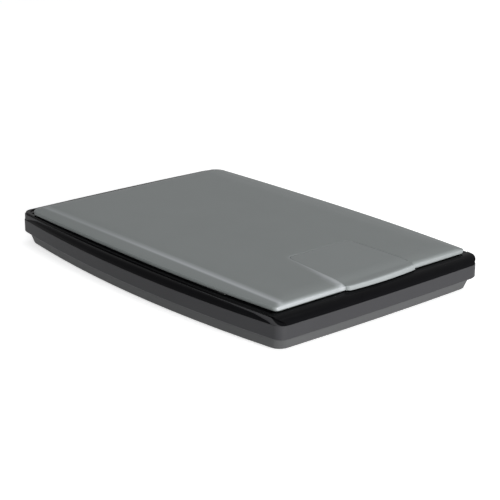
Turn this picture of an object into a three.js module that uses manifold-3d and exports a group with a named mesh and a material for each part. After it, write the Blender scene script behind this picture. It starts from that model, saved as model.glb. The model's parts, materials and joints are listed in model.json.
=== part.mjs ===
// A slim flatbed document scanner with a hinged cover, in millimetres.
// X runs across the short front, Y from the front to the hinges at the rear, Z up.
// The origin is at the middle of the footprint, on the surface that the feet stand on.
import * as THREE from 'three';
import { mergeVertices } from 'three/addons/utils/BufferGeometryUtils.js';
import Module from 'manifold-3d';

const wasm = await Module();
wasm.setup();

// Driving dimensions of the whole object
const CASE_WIDTH = 236; // across the vertical corners
const CASE_LENGTH = 376; // over the front and rear walls
const SIDE_BOW = 13; // how far each long side swells out at its middle
const END_BOW = 1.8; // how far the front and rear swell out
const CORNER_RADIUS = 8; // of the vertical corners
const GAP = 0.3; // between pieces that seat, slide or turn on each other
const OVERRUN = 4; // how far a cutter passes what it cuts

// Sizes of each piece
const FOOT = { radius: 6, proud: 2, seat: 1.2, fromSide: 24, fromEnd: 26 };
const TRAY = {
  height: 10.6, wall: 2.2, floor: 2.2, edge: 0.6, topInset: 3, topEndInset: 4,
  lowInset: 5.4, lowEndInset: 7.4, rootInset: 0.5, corner: 8,
};
const BAND = { height: 12.5, wall: 2.4, lip: 2, edge: 1, roundInset: 0.9 };
const RIM = { wallHeight: 5.5, lipHeight: 1.8, lipStep: 1, lipWidth: 3, bow: 8, setback: 0.2 };
const DECK = { drop: 0.8, thickness: 2.4 };
const GLASS = { thickness: 2.8, drop: 0.2, overlap: 4, sideMargin: 10, frontMargin: 42, rearMargin: 36 };
const LEDGE = { thickness: 1.7, width: 8 };
const FASCIA = { depth: 12, height: 5.5, back: 3, toe: 1.5 };
const TRIM = { height: 5.9, reachShare: 0.94, taperShare: 0.35, bulgeShare: 0.72 };
const CALIBRATION = { width: 5, thickness: 0.5, fromOpening: 1.2 };
const RULER = { width: 4, thickness: 0.4, fromGlass: 0.8, sideWidth: 2.4, endMargin: 31 };
const LID = {
  clearance: 0.8, sideInset: 5.6, endInset: 12, rearInset: 14, bow: 8, toe: 1, toeInset: 0.6, edge: 3.4, rise: 5.2,
  topHalfInset: 12, topFront: 15, topRear: 19, crown: 1.1, crownInset: 16,
  wall: 2.2, roof: 3.2, foot: 6.4, rearWall: 3.6, innerBow: 6, corner: 4, topCorner: 5,
};
const LINER = { thickness: 1.4, up: 0.6 };
const PAD = { thickness: 1.6, margin: 1, endMargin: 3 };
const TAB = {
  left: 41, leftRear: 25, right: 46, rear: 91, nose: 4.5, noseBow: 3.8, thickness: 1.4, dish: 0.7,
  corner: 12, noseDrop: 1.4, noseInset: 1.3, toe: 1.2,
};
const HINGE = {
  fromSide: 43, width: 16, knuckle: 2.4, pin: 0.9, inset: 17.4, height: 1.6, sleeve: 1.8,
  lift: 12, grip: 7.6, lugWidth: 5, lugFront: 3.4, lugRear: 1, lugHeight: 3.8, wellFloor: 1.5,
};
const TROUGH = { depth: 0.8, front: 5.5, rear: 6.5 };
const BUMPER = { radius: 3, fromSide: 18, fromRuler: 1.2 };
const ROD = { radius: 3, height: 7, endGap: 5.6 };
const CLAMP = { width: 12, depth: 5, head: 4 };
const CARRIAGE = {
  endGap: 1, halfDepth: 9.6, floor: 1.8, floorHeight: 9.6, wall: 1.2, wallHeight: 6.4,
  bearingWidth: 14, clampGap: 1.2, behindGlass: 3.6, pastGlass: 3,
};
const SENSOR = {
  endGap: 1.5, halfDepth: 8, bottom: 14.4, ear: 6, earThickness: 3, padLength: 4, padDepth: 10,
  padThickness: 1.1, slotDepth: 3, lensWidth: 3, lightWidth: 3.2, lightShift: 3.2,
  opticsShort: 4, boardThickness: 1.2, boardRecess: 1.6, boardHalf: 5,
};
const SPRING = { radius: 2.5, fromEnd: 26.5 };
const GEAR = {
  teeth: 14, pitchRadius: 5.6, addendum: 0.7, dedendum: 0.9, width: 7, bore: 1.2,
  fromSide: 64, forward: 16.3, pinionTeeth: 8,
};
const RACK = { base: 1.4, width: 7 };
const MOTOR = { radius: 8, length: 14, shaft: 0.9 };
const BRACKET = { thickness: 2, rise: 5.5, drop: 4.2, front: 7 };
const LOCK = {
  fromSide: 46, width: 8, neck: 2.6, flange: 5, flangeEdge: 1, flangeThickness: 1.2, tongue: 1.4,
  tongueHeight: 4.2, travel: 9, fin: 1.6, finHeight: 4.6, finGap: 0.5,
};
const BOARD = { fromHinge: 19, toHinge: 39, height: 12, thickness: 1.6, behind: 12.2, above: 2.2, post: 3 };
const SOCKET = {
  width: 12, height: 10.8, from: 10, mouthWidth: 8.6, mouthHeight: 7.8, mouthDepth: 9, lip: 0.4,
};
const FLEX = { width: 12, thickness: 0.4, left: 30, run: 120, tail: 6 };
const SCREW = {
  along: 60, headRadius: 3.2, headHeight: 1.8, shank: 1.5, length: 17, bossRadius: 4, seatDepth: 3.2,
};

// Faceting: how many steps each curve is drawn in
const SIDE_STEPS = 12;
const END_STEPS = 4;
const CORNER_STEPS = 4;
const ROUND_STEPS = 20;
const CURVE_STEPS = 8;

// Heights that the pieces share, from the feet up
const trayBottom = FOOT.proud;
const floorTop = trayBottom + TRAY.floor;
const trayTop = trayBottom + TRAY.height;
const bandTop = trayTop + BAND.height;
const wallTop = bandTop + RIM.wallHeight;
const rimTop = wallTop + RIM.lipHeight;
const deckTop = rimTop - DECK.drop;
const deckUnder = deckTop - DECK.thickness;
const glassTop = deckTop - GLASS.drop;
const glassUnder = glassTop - GLASS.thickness;
const ledgeTop = glassUnder - GAP;
const railUnder = ledgeTop - LEDGE.thickness;
const lidBottom = rimTop + LID.clearance;
const lidShoulder = lidBottom + LID.rise;
const lidTop = lidShoulder + LID.crown;

// Plan places that the pieces share
const halfWidth = CASE_WIDTH / 2;
const halfLength = CASE_LENGTH / 2;
const openingRear = halfLength - GLASS.rearMargin;
const openingFront = -halfLength + GLASS.frontMargin;
const openingHalf = halfWidth - GLASS.sideMargin;
const pocketHalf = openingHalf + GLASS.overlap;
const pocketFront = openingFront - GLASS.overlap;
const pocketRear = openingRear + GLASS.overlap;
const hingeX = halfWidth - HINGE.fromSide;
const gearX = openingHalf - GEAR.fromSide;
const lockX = openingHalf - LOCK.fromSide;
const boardLeft = -hingeX + BOARD.fromHinge;
const boardRight = hingeX - BOARD.toHinge;
const hingeY = halfLength - HINGE.inset;
const hingeZ = lidBottom + HINGE.height;
const bladeLength = HINGE.lift + HINGE.grip;
const rodHalf = halfLength - TRAY.lowEndInset - TRAY.wall - ROD.endGap;
const homeY = openingRear + CARRIAGE.behindGlass;
const travel = openingRear - openingFront + CARRIAGE.pastGlass;

const finish = (color, roughness, metalness, extra = {}) =>
  new THREE.MeshStandardMaterial({ color, roughness, metalness, ...extra });
const paint = {
  silver: finish(0x7a7e7d, 0.42, 0.25),
  tray: finish(0x6d6d6e, 0.6, 0),
  dark: finish(0x4a4b4d, 0.5, 0),
  gloss: finish(0x101012, 0.12, 0),
  black: finish(0x1c1c1e, 0.6, 0),
  white: finish(0xe8e8e4, 0.7, 0),
  glass: finish(0xcfe0dc, 0.05, 0, { transparent: true, opacity: 0.3 }),
  steel: finish(0xb8babc, 0.3, 0.9),
  rubber: finish(0x151515, 0.9, 0),
  board: finish(0x1f5a34, 0.55, 0),
  brass: finish(0xb89a4a, 0.35, 0.9),
  ribbon: finish(0xd8dcdf, 0.5, 0),
};

// A closed geometry becomes a solid, turned right side out.
function toSolid(geometry) {
  const plain = geometry.index ? geometry.toNonIndexed() : geometry;
  plain.deleteAttribute('normal');
  plain.deleteAttribute('uv');
  const merged = mergeVertices(plain, 1e-4);
  const vertProperties = new Float32Array(merged.attributes.position.array);
  const triVerts = new Uint32Array(merged.index.array);
  let volume = 0;
  const corner = (i) => new THREE.Vector3().fromArray(vertProperties, triVerts[i] * 3);
  for (let i = 0; i < triVerts.length; i += 3) {
    volume += corner(i).dot(corner(i + 1).cross(corner(i + 2)));
  }
  if (volume < 0) {
    for (let i = 0; i < triVerts.length; i += 3) {
      [triVerts[i], triVerts[i + 1]] = [triVerts[i + 1], triVerts[i]];
    }
  }
  return new wasm.Manifold(new wasm.Mesh({ numProp: 3, vertProperties, triVerts }));
}
const join = (first, ...others) => others.reduce((whole, next) => whole.add(next), first);
const cut = (first, ...others) => others.reduce((whole, next) => whole.subtract(next), first);
const overlap = (first, second) => first.intersect(second);

// A solid becomes a named mesh in a group.
function place(group, name, shape, material) {
  const { vertProperties, triVerts } = shape.getMesh();
  const geometry = new THREE.BufferGeometry();
  geometry.setAttribute('position', new THREE.BufferAttribute(vertProperties, 3));
  geometry.setIndex(new THREE.BufferAttribute(triVerts, 1));
  geometry.computeVertexNormals();
  const mesh = new THREE.Mesh(geometry, material);
  mesh.name = name;
  group.add(mesh);
}

// A block between two opposite corners.
function block(x0, x1, y0, y1, z0, z1) {
  const geometry = new THREE.BoxGeometry(x1 - x0, y1 - y0, z1 - z0);
  geometry.translate((x0 + x1) / 2, (y0 + y1) / 2, (z0 + z1) / 2);
  return toSolid(geometry);
}

// A cylinder that stands up, from z0 to z1.
function post(x, y, z0, z1, radius) {
  const geometry = new THREE.CylinderGeometry(radius, radius, z1 - z0, ROUND_STEPS);
  geometry.rotateX(Math.PI / 2);
  geometry.translate(x, y, (z0 + z1) / 2);
  return toSolid(geometry);
}

// A cylinder that lies along X or along Y.
function barX(x0, x1, y, z, radius) {
  const geometry = new THREE.CylinderGeometry(radius, radius, x1 - x0, ROUND_STEPS);
  geometry.rotateZ(Math.PI / 2);
  geometry.translate((x0 + x1) / 2, y, z);
  return toSolid(geometry);
}
function barY(x, y0, y1, z, radius) {
  const geometry = new THREE.CylinderGeometry(radius, radius, y1 - y0, ROUND_STEPS);
  geometry.translate(x, (y0 + y1) / 2, z);
  return toSolid(geometry);
}

// The plan outline of an oblong with round corners, whose four sides bow outward.
// A side's bow falls off with the square of the distance from its middle.
function outline({ halfX, front, rear, sideBow, endBow, corner }) {
  const middle = (rear - front) / 2 + front;
  const halfY = (rear - front) / 2;
  const coreX = halfX - corner;
  const coreY = halfY - corner;
  const centres = [[coreX, coreY], [-coreX, coreY], [-coreX, -coreY], [coreX, -coreY]];
  const points = [];
  centres.forEach(([centreX, centreY], quarter) => {
    for (let step = 0; step <= CORNER_STEPS; step += 1) {
      const angle = (quarter + step / CORNER_STEPS) * (Math.PI / 2);
      points.push([centreX + corner * Math.cos(angle), centreY + corner * Math.sin(angle)]);
    }
    const [lastX, lastY] = points[points.length - 1];
    const [turnX, turnY] = centres[(quarter + 1) % centres.length];
    const isEnd = quarter % 2 === 0;
    const steps = isEnd ? END_STEPS : SIDE_STEPS;
    const nextX = isEnd ? turnX : lastX;
    const nextY = isEnd ? lastY : turnY;
    for (let step = 1; step < steps; step += 1) {
      const along = step / steps;
      points.push([lastX + (nextX - lastX) * along, lastY + (nextY - lastY) * along]);
    }
  });
  return points.map(([x, y]) => [
    x * (1 + (sideBow / halfX) * (1 - (y / halfY) ** 2)),
    middle + y * (1 + (endBow / halfY) * (1 - (x / halfX) ** 2)),
  ]);
}

// An outline of the case, drawn in from the vertical corners.
const caseOutline = (sideInset, endInset, sideBow = SIDE_BOW, corner = CORNER_RADIUS) =>
  outline({
    halfX: halfWidth - sideInset, front: -halfLength + endInset, rear: halfLength - endInset,
    sideBow, endBow: END_BOW, corner,
  });

// A solid skinned over level outlines, each with the same number of points.
function loft(levels) {
  const positions = [];
  const push = (...corners) => corners.forEach((corner) => positions.push(...corner));
  const rings = levels.map(([points, z]) => points.map(([x, y]) => [x, y, z]));
  rings.forEach((ring, level) => {
    const isFirst = level === 0;
    const isLast = level === rings.length - 1;
    const centreY = ring.reduce((sum, point) => sum + point[1], 0) / ring.length;
    const centre = [0, centreY, ring[0][2]];
    ring.forEach((point, index) => {
      const next = ring[(index + 1) % ring.length];
      if (isFirst) push(centre, next, point);
      if (isLast) push(centre, point, next);
      if (!isLast) {
        const above = rings[level + 1][index];
        const nextAbove = rings[level + 1][(index + 1) % ring.length];
        push(point, next, nextAbove, point, nextAbove, above);
      }
    });
  });
  const geometry = new THREE.BufferGeometry();
  geometry.setAttribute('position', new THREE.Float32BufferAttribute(positions, 3));
  return toSolid(geometry);
}

// A solid skinned over a row of sections. Each section is a closed loop of [across, up]
// pairs; toSpace puts a pair of section number i at its place.
function skin(sections, toSpace) {
  const positions = [];
  const push = (...corners) => corners.forEach((corner) => positions.push(...corner));
  const flat = (section) => section.map(([across, up]) => new THREE.Vector2(across, up));
  const isReversed = THREE.ShapeUtils.isClockWise(flat(sections[0]));
  const loops = sections.map((section) => (isReversed ? [...section].reverse() : section));
  const rings = loops.map((loop, i) => loop.map((pair) => toSpace(pair, i)));
  const last = rings.length - 1;
  const faces = (loop) => THREE.ShapeUtils.triangulateShape(flat(loop), []);
  faces(loops[0]).forEach(([a, b, c]) => push(rings[0][a], rings[0][b], rings[0][c]));
  faces(loops[last]).forEach(([a, b, c]) => push(rings[last][a], rings[last][c], rings[last][b]));
  for (let i = 0; i < last; i += 1) {
    rings[i].forEach((point, index) => {
      const after = (index + 1) % rings[i].length;
      push(point, rings[i + 1][index], rings[i + 1][after]);
      push(point, rings[i + 1][after], rings[i][after]);
    });
  }
  const geometry = new THREE.BufferGeometry();
  geometry.setAttribute('position', new THREE.Float32BufferAttribute(positions, 3));
  return toSolid(geometry);
}

// A straight prism along X, from a loop of [y, z] pairs.
const prismX = (loop, x0, x1) => skin([loop, loop], ([y, z], i) => [i === 0 ? x0 : x1, y, z]);
// A straight prism along Z, from a loop of [x, y] pairs.
const prismZ = (loop, z0, z1) => skin([loop, loop], ([x, y], i) => [x, y, i === 0 ? z0 : z1]);

// The loop of a gear with straight-sided teeth, as [y, z] pairs; one tooth points down at turn 0.
function gearLoop({ teeth, pitchRadius, y, z, turn }) {
  const tip = pitchRadius + GEAR.addendum;
  const root = pitchRadius - GEAR.dedendum;
  const toothShares = [-0.3, -0.13, 0.13, 0.3];
  const loop = [];
  for (let tooth = 0; tooth < teeth; tooth += 1) {
    toothShares.forEach((share, corner) => {
      const radius = corner === 1 || corner === 2 ? tip : root;
      const angle = turn + ((tooth + share) / teeth) * 2 * Math.PI - Math.PI / 2;
      loop.push([y + radius * Math.cos(angle), z + radius * Math.sin(angle)]);
    });
  }
  return loop;
}

const scanner = new THREE.Group();
const base = new THREE.Group();
const carriage = new THREE.Group();
const cover = new THREE.Group();
scanner.add(base, cover);
base.add(carriage);
carriage.position.y = homeY;

const bothSides = [['left', -1], ['right', 1]];
const bothEnds = [['front', -1], ['rear', 1]];
const atCorners = (visit) => bothEnds.forEach(([end, y]) =>
  bothSides.forEach(([side, x]) => visit(`${end}_${side}`, x, y)));

// Places of the screws: outside the carriage's path, where the sides bow out
const screwX = halfWidth;
const screwBoss = (x, y, z0, z1, grow = 0) => post(x * screwX, y * SCREW.along, z0, z1, SCREW.bossRadius + grow);
const screwHole = (x, y, z0, z1) => post(x * screwX, y * SCREW.along, z0, z1, SCREW.shank + GAP);

// Places of the lock slot's end and of the feet
const lockEnd = lockX + LOCK.width;
const footX = halfWidth - FOOT.fromSide;
const footY = halfLength - FOOT.fromEnd;

// The tray: a shallow pan whose walls lean inward towards the table.
const trayLow = (inset) => caseOutline(TRAY.lowInset + inset, TRAY.lowEndInset + inset, SIDE_BOW, TRAY.corner);
const trayHigh = (inset) => caseOutline(TRAY.topInset + inset, TRAY.topEndInset + inset, SIDE_BOW, TRAY.corner);
function lowerCase() {
  const outer = loft([
    [trayLow(TRAY.rootInset), trayBottom],
    [trayLow(0), trayBottom + TRAY.edge],
    [trayHigh(0), trayTop - GAP],
  ]);
  const inner = loft([[trayLow(TRAY.wall), floorTop], [trayHigh(TRAY.wall), trayTop + OVERRUN]]);
  let tray = cut(outer, inner);
  atCorners((name, x, y) => {
    const boss = overlap(screwBoss(x, y, trayBottom + TRAY.edge, trayTop - GAP, TRAY.edge), outer);
    tray = join(tray, boss);
  });
  atCorners((name, x, y) => {
    const seat = post(x * screwX, y * SCREW.along, trayBottom - OVERRUN, trayBottom + SCREW.seatDepth,
      SCREW.headRadius + GAP);
    const recess = post(x * footX, y * footY, trayBottom - OVERRUN, trayBottom + FOOT.seat,
      FOOT.radius + GAP);
    tray = cut(tray, seat, recess, screwHole(x, y, trayBottom, trayTop + OVERRUN));
  });
  return cut(tray, block(lockX - LOCK.finGap, lockEnd + LOCK.travel + LOCK.finGap,
    homeY - LOCK.neck - GAP, homeY + LOCK.neck + GAP, trayBottom - OVERRUN, floorTop + OVERRUN));
}

// The side wall's path, seen from above, before its rim is cut: it bows less than the band.
const wallOutline = (inset) => caseOutline(inset, inset, RIM.bow);

// The step in the front edge that the fascia seats in, as an S-shaped [y, z] curve.
const stepBack = -halfLength + FASCIA.depth + FASCIA.back;
function stepCurve(lift) {
  const points = [];
  for (let i = 0; i <= CURVE_STEPS; i += 1) {
    const along = i / CURVE_STEPS;
    const rise = (1 - Math.cos(Math.PI * along)) / 2;
    const y = -halfLength + FASCIA.toe + (FASCIA.depth - FASCIA.toe) * along;
    points.push([y, bandTop + lift + FASCIA.height * rise]);
  }
  return points;
}

// The upper case: the band round the body and the walls above it, open at the top, with a
// beam behind the front wall that the fascia seats on.
function upperCase() {
  const band = loft([
    [caseOutline(BAND.roundInset, BAND.roundInset), trayTop],
    [caseOutline(0, 0), trayTop + BAND.edge],
    [caseOutline(0, 0), bandTop],
  ]);
  const wall = loft([
    [wallOutline(RIM.setback), trayTop + BAND.lip],
    [wallOutline(RIM.setback), wallTop],
  ]);
  const lipHole = loft([
    [trayHigh(TRAY.wall), trayTop - OVERRUN],
    [trayHigh(TRAY.wall), trayTop + BAND.lip + BAND.edge],
  ]);
  const bandHollow = loft([
    [caseOutline(BAND.wall, BAND.wall), trayTop + BAND.lip],
    [caseOutline(BAND.wall, BAND.wall), bandTop - BAND.wall],
  ]);
  const wallHollow = loft([
    [wallOutline(RIM.setback + BAND.wall), trayTop + BAND.lip],
    [wallOutline(RIM.setback + BAND.wall), wallTop + OVERRUN],
  ]);
  const beam = block(-CASE_WIDTH, CASE_WIDTH, -CASE_LENGTH, stepBack - GAP,
    bandTop - BAND.wall, rimTop + OVERRUN);
  const shell = cut(join(band, wall), lipHole, bandHollow, cut(wallHollow, beam));
  const frontStep = prismX([
    [-halfLength - OVERRUN, bandTop], ...stepCurve(0), [stepBack, bandTop + FASCIA.height],
    [stepBack, rimTop + OVERRUN], [-halfLength - OVERRUN, rimTop + OVERRUN],
  ], -CASE_WIDTH, CASE_WIDTH);
  return cut(join(shell, ...boardPosts()), frontStep, socketBody(GAP));
}

// The top frame lies on the walls and holds the glass: a rim round a sunk deck, with the
// glass seat, the screw bosses and the wells that the hinge posts slide in.
function topFrame() {
  const slab = loft([
    [wallOutline(RIM.setback + BAND.wall + GAP), deckUnder],
    [wallOutline(RIM.setback + BAND.wall + GAP), wallTop + GAP],
    [wallOutline(RIM.lipStep), wallTop + GAP],
    [wallOutline(RIM.lipStep), rimTop],
  ]);
  const deckRecess = loft([
    [wallOutline(RIM.lipStep + RIM.lipWidth), deckTop],
    [wallOutline(RIM.lipStep + RIM.lipWidth), rimTop + OVERRUN],
  ]);
  const ledge = block(-pocketHalf - LEDGE.width / 2, pocketHalf + LEDGE.width / 2,
    pocketFront - LEDGE.width, pocketRear + LEDGE.width / 2, railUnder, deckUnder + GAP);
  const forward = block(-CASE_WIDTH, CASE_WIDTH, -CASE_LENGTH, stepBack, trayTop, rimTop + OVERRUN);
  let frame = join(cut(slab, deckRecess, forward), ledge);
  atCorners((name, x, y) => {
    frame = join(frame, screwBoss(x, y, trayTop + GAP, deckUnder + GAP));
  });
  bothSides.forEach(([, side]) => {
    const x = side * hingeX;
    const halfX = HINGE.width / 2 + GAP + HINGE.sleeve;
    const halfY = HINGE.knuckle + GAP + HINGE.sleeve;
    const bottom = hingeZ - bladeLength - GAP - HINGE.wellFloor;
    frame = join(frame, block(x - halfX, x + halfX, hingeY - halfY, hingeY + halfY, bottom, deckUnder + GAP));
  });
  const opening = block(-openingHalf, openingHalf, openingFront, openingRear, railUnder - OVERRUN, rimTop);
  const pocket = block(-pocketHalf, pocketHalf, pocketFront, pocketRear, ledgeTop, rimTop);
  const strip = block(-openingHalf, openingHalf, openingRear + CALIBRATION.fromOpening - GAP,
    openingRear + CALIBRATION.fromOpening + CALIBRATION.width + GAP,
    railUnder - OVERRUN, railUnder + CALIBRATION.thickness + GAP);
  const trough = block(-halfWidth + LID.sideInset - LID.toe, halfWidth - LID.sideInset + LID.toe,
    hingeY - TROUGH.front, hingeY + TROUGH.rear, deckTop - TROUGH.depth, rimTop);
  frame = cut(frame, opening, pocket, strip, trough);
  atCorners((name, x, y) => {
    frame = cut(frame, screwHole(x, y, trayTop - OVERRUN, deckUnder));
  });
  bothSides.forEach(([, side]) => {
    const x = side * hingeX;
    const halfX = HINGE.width / 2 + GAP;
    const halfY = HINGE.knuckle + GAP;
    frame = cut(frame, block(x - halfX, x + halfX, hingeY - halfY, hingeY + halfY,
      hingeZ - bladeLength - GAP, rimTop + OVERRUN));
  });
  return cut(frame, rulerFrontSeat(GAP), rulerSideSeat(GAP));
}

// The posts on the rear wall that the main board is fixed to.
const boardFront = halfLength - BAND.wall - BOARD.behind;
const boardBottom = trayTop + BOARD.above;
function boardPosts() {
  const shares = [0.3, 0.9];
  return shares.map((share) => {
    const x = boardLeft + (boardRight - boardLeft) * share;
    return block(x - BOARD.post / 2, x + BOARD.post / 2, boardFront + BOARD.thickness + GAP,
      halfLength, boardBottom + BOARD.post, boardBottom + BOARD.height - BOARD.post);
  });
}

// The socket's body, grown by a clearance where it cuts its window.
function socketBody(grow) {
  const left = boardLeft + SOCKET.from;
  const bottom = boardBottom + (BOARD.height - SOCKET.height) / 2;
  const rear = grow > 0 ? halfLength + OVERRUN : halfLength + END_BOW - SOCKET.lip;
  return block(left - grow, left + SOCKET.width + grow, boardFront + BOARD.thickness + GAP,
    rear, bottom - grow, bottom + SOCKET.height + grow);
}
function usbSocket() {
  const left = boardLeft + SOCKET.from + (SOCKET.width - SOCKET.mouthWidth) / 2;
  const bottom = boardBottom + (BOARD.height - SOCKET.mouthHeight) / 2;
  const rear = halfLength + END_BOW - SOCKET.lip;
  return cut(socketBody(0), block(left, left + SOCKET.mouthWidth, rear - SOCKET.mouthDepth,
    rear + OVERRUN, bottom, bottom + SOCKET.mouthHeight));
}

// The printed rulers lie in shallow seats in the deck.
const rulerRear = pocketFront - RULER.fromGlass;
function rulerFrontSeat(grow) {
  return block(-openingHalf - grow, openingHalf + grow, rulerRear - RULER.width - grow, rulerRear + grow,
    deckTop - RULER.thickness - grow, grow > 0 ? rimTop : deckTop);
}
function rulerSideSeat(grow) {
  const inner = -pocketHalf - RULER.fromGlass;
  return block(inner - RULER.sideWidth - grow, inner + grow, openingFront + RULER.endMargin - grow,
    openingRear - RULER.endMargin + grow, deckTop - RULER.thickness - grow, grow > 0 ? rimTop : deckTop);
}

// The fascia: a quarter-round gloss strip along the front, over the step in the case.
function frontFascia() {
  const round = [];
  for (let i = 0; i <= CURVE_STEPS; i += 1) {
    const angle = (i / CURVE_STEPS) * (Math.PI / 2);
    const y = -halfLength + FASCIA.depth * (1 - Math.cos(angle));
    round.push([y, bandTop + GAP + (rimTop - bandTop - GAP) * Math.sin(angle)]);
  }
  const back = stepBack - GAP;
  const under = stepCurve(GAP).reverse();
  const loop = [...round, [back, rimTop], [back, bandTop + FASCIA.height + GAP], ...under];
  const shares = [-1, -0.75, -0.5, -0.25, 0, 0.25, 0.5, 0.75, 1];
  const bar = skin(shares.map(() => loop), ([y, z], i) => [
    shares[i] * halfWidth, y - END_BOW * (1 - shares[i] ** 2), z,
  ]);
  const ends = wallOutline(RIM.setback);
  const reach = loft([[ends, bandTop - OVERRUN], [ends, rimTop + OVERRUN]]);
  return overlap(bar, reach);
}

// A side trim: a lens-shaped gloss strip that fills the ledge between the bowed band
// and the flatter wall above it, and thins out towards both ends.
function sideTrim(side) {
  const steps = 2 * SIDE_STEPS;
  const shares = Array.from({ length: steps + 1 }, (_, i) => TRIM.reachShare * ((2 * i) / steps - 1));
  const sections = shares.map((share) => {
    const fall = 1 - share ** 2;
    const outer = halfWidth + SIDE_BOW * fall;
    const inner = halfWidth + RIM.bow * fall - RIM.setback + GAP;
    const bottom = bandTop + GAP;
    const top = bottom + TRIM.height * fall ** TRIM.taperShare;
    const bulge = inner + (outer - inner) * TRIM.bulgeShare;
    return [[inner, bottom], [outer, bottom], [bulge, bottom + (top - bottom) * TRIM.bulgeShare], [inner, top]];
  });
  return skin(sections, ([x, z], i) => [side * x, shares[i] * halfLength, z]);
}

// The cover's shell: a straight-edged top, with sloping sides down to bowed lower edges.
const lidRing = (sideInset, front, rear, sideBow, corner) => outline({
  halfX: halfWidth - sideInset, front: -halfLength + front, rear: halfLength - rear, sideBow, endBow: 0, corner,
});
const lidEdge = (inset) => lidRing(LID.sideInset + inset, LID.endInset + inset, LID.rearInset + inset,
  LID.bow, LID.corner);
const lidShoulderRing = (inset) => lidRing(LID.topHalfInset + inset, LID.topFront + inset, LID.topRear + inset,
  0, LID.topCorner);
function lidOuter() {
  return loft([
    [lidEdge(LID.toeInset), lidBottom],
    [lidEdge(0), lidBottom + LID.toe],
    [lidEdge(0), lidBottom + LID.edge],
    [lidShoulderRing(0), lidShoulder],
    [lidShoulderRing(LID.crownInset), lidTop],
  ]);
}
function tabOutline(grow) {
  const rearY = -halfLength + TAB.rear + grow;
  const frontY = -halfLength - OVERRUN;
  const loop = [[-TAB.left - grow, frontY], [TAB.right + grow, frontY]];
  const corner = TAB.corner + grow;
  const arc = (centreX, centreY, from) => {
    for (let i = 0; i <= CORNER_STEPS; i += 1) {
      const angle = from + (i / CORNER_STEPS) * (Math.PI / 2);
      loop.push([centreX + corner * Math.cos(angle), centreY + corner * Math.sin(angle)]);
    }
  };
  arc(TAB.right + grow - corner, rearY - corner, 0);
  arc(-TAB.leftRear - grow + corner, rearY - corner, Math.PI / 2);
  return loop;
}
// The straight inner wall inside the cover's lower edge, which the liner fits.
const lidInnerRing = (inset) => lidRing(LID.sideInset + LID.foot + inset, LID.endInset + LID.wall + inset,
  LID.rearInset + LID.rearWall + inset, LID.innerBow, LID.corner);
const linerBottom = lidBottom + LINER.up;
const tabFloor = lidShoulder - TAB.thickness;
const tabBackY = -halfLength + LID.endInset + LID.wall;
function lidShell() {
  const inner = loft([
    [lidInnerRing(0), lidBottom - OVERRUN],
    [lidInnerRing(0), linerBottom + LINER.thickness + GAP],
    [lidShoulderRing(LID.wall), lidTop - LID.roof],
  ]);
  let shell = cut(lidOuter(), inner);
  const lugs = [];
  const pivots = [];
  bothSides.forEach(([, side]) => {
    const x = side * hingeX;
    bothSides.forEach(([, edge]) => {
      const near = x + edge * (HINGE.width / 2 + GAP);
      const far = near + edge * HINGE.lugWidth;
      const lug = block(Math.min(near, far), Math.max(near, far), hingeY - HINGE.lugFront,
        hingeY + HINGE.lugRear, lidBottom, lidBottom + HINGE.lugHeight);
      lugs.push(overlap(lug, lidOuter()));
    });
    pivots.push(barX(x - HINGE.width, x + HINGE.width, hingeY, hingeZ, HINGE.pin + GAP));
    pivots.push(block(x - HINGE.width / 2 - GAP, x + HINGE.width / 2 + GAP, hingeY - HINGE.knuckle - LID.toe,
      halfLength, lidBottom - OVERRUN, hingeZ + HINGE.knuckle + LID.toe / 2));
  });
  shell = cut(join(shell, ...lugs), ...pivots);
  const pocket = prismZ(tabOutline(GAP), tabFloor - GAP, lidTop + OVERRUN);
  const front = block(-CASE_WIDTH, CASE_WIDTH, -CASE_LENGTH, tabBackY - LID.wall / 2, 0, lidTop + OVERRUN);
  const notch = overlap(prismZ(tabOutline(GAP), lidBottom - OVERRUN, lidTop + OVERRUN), front);
  return cut(shell, pocket, notch);
}

// The lift tab: a plate let into the cover's top, whose nose hangs over the front edge and
// bows forward in its middle. The plate dips towards its front left corner.
function liftTab() {
  const noseY = -halfLength + LID.endInset - TAB.nose;
  const backY = tabBackY - LID.wall / 2 - GAP;
  const endY = -halfLength + TAB.rear + OVERRUN;
  const loop = [
    [endY, tabFloor], [backY, tabFloor], [backY, lidBottom], [noseY + TAB.toe, lidBottom],
    [noseY, lidBottom + TAB.toe], [noseY + TAB.toe / 4, lidShoulder - TAB.noseDrop],
    [noseY + TAB.noseInset, lidShoulder - TAB.noseDrop / 3], [noseY + TAB.nose, lidShoulder],
    [noseY + TAB.nose + LID.crownInset, lidTop], [endY, lidTop],
  ];
  const shares = Array.from({ length: CURVE_STEPS + 1 }, (_, i) => (2 * i) / CURVE_STEPS - 1);
  const middle = (TAB.right - TAB.left) / 2;
  const half = (TAB.right + TAB.left) / 2;
  const bar = skin(shares.map(() => loop), ([y, z], i) => {
    const bow = y < backY ? TAB.noseBow * shares[i] ** 2 : 0;
    const fromFloor = Math.min(Math.max(z - tabFloor, 0) / TAB.thickness, 1);
    const fromRight = (1 - shares[i]) / 2;
    const fromRear = (endY - y) / (endY - noseY);
    return [middle + shares[i] * (half + OVERRUN), y + bow, z - TAB.dish * fromFloor * fromRight * fromRear];
  });
  return overlap(bar, prismZ(tabOutline(0), lidBottom - OVERRUN, lidTop + OVERRUN));
}

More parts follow.
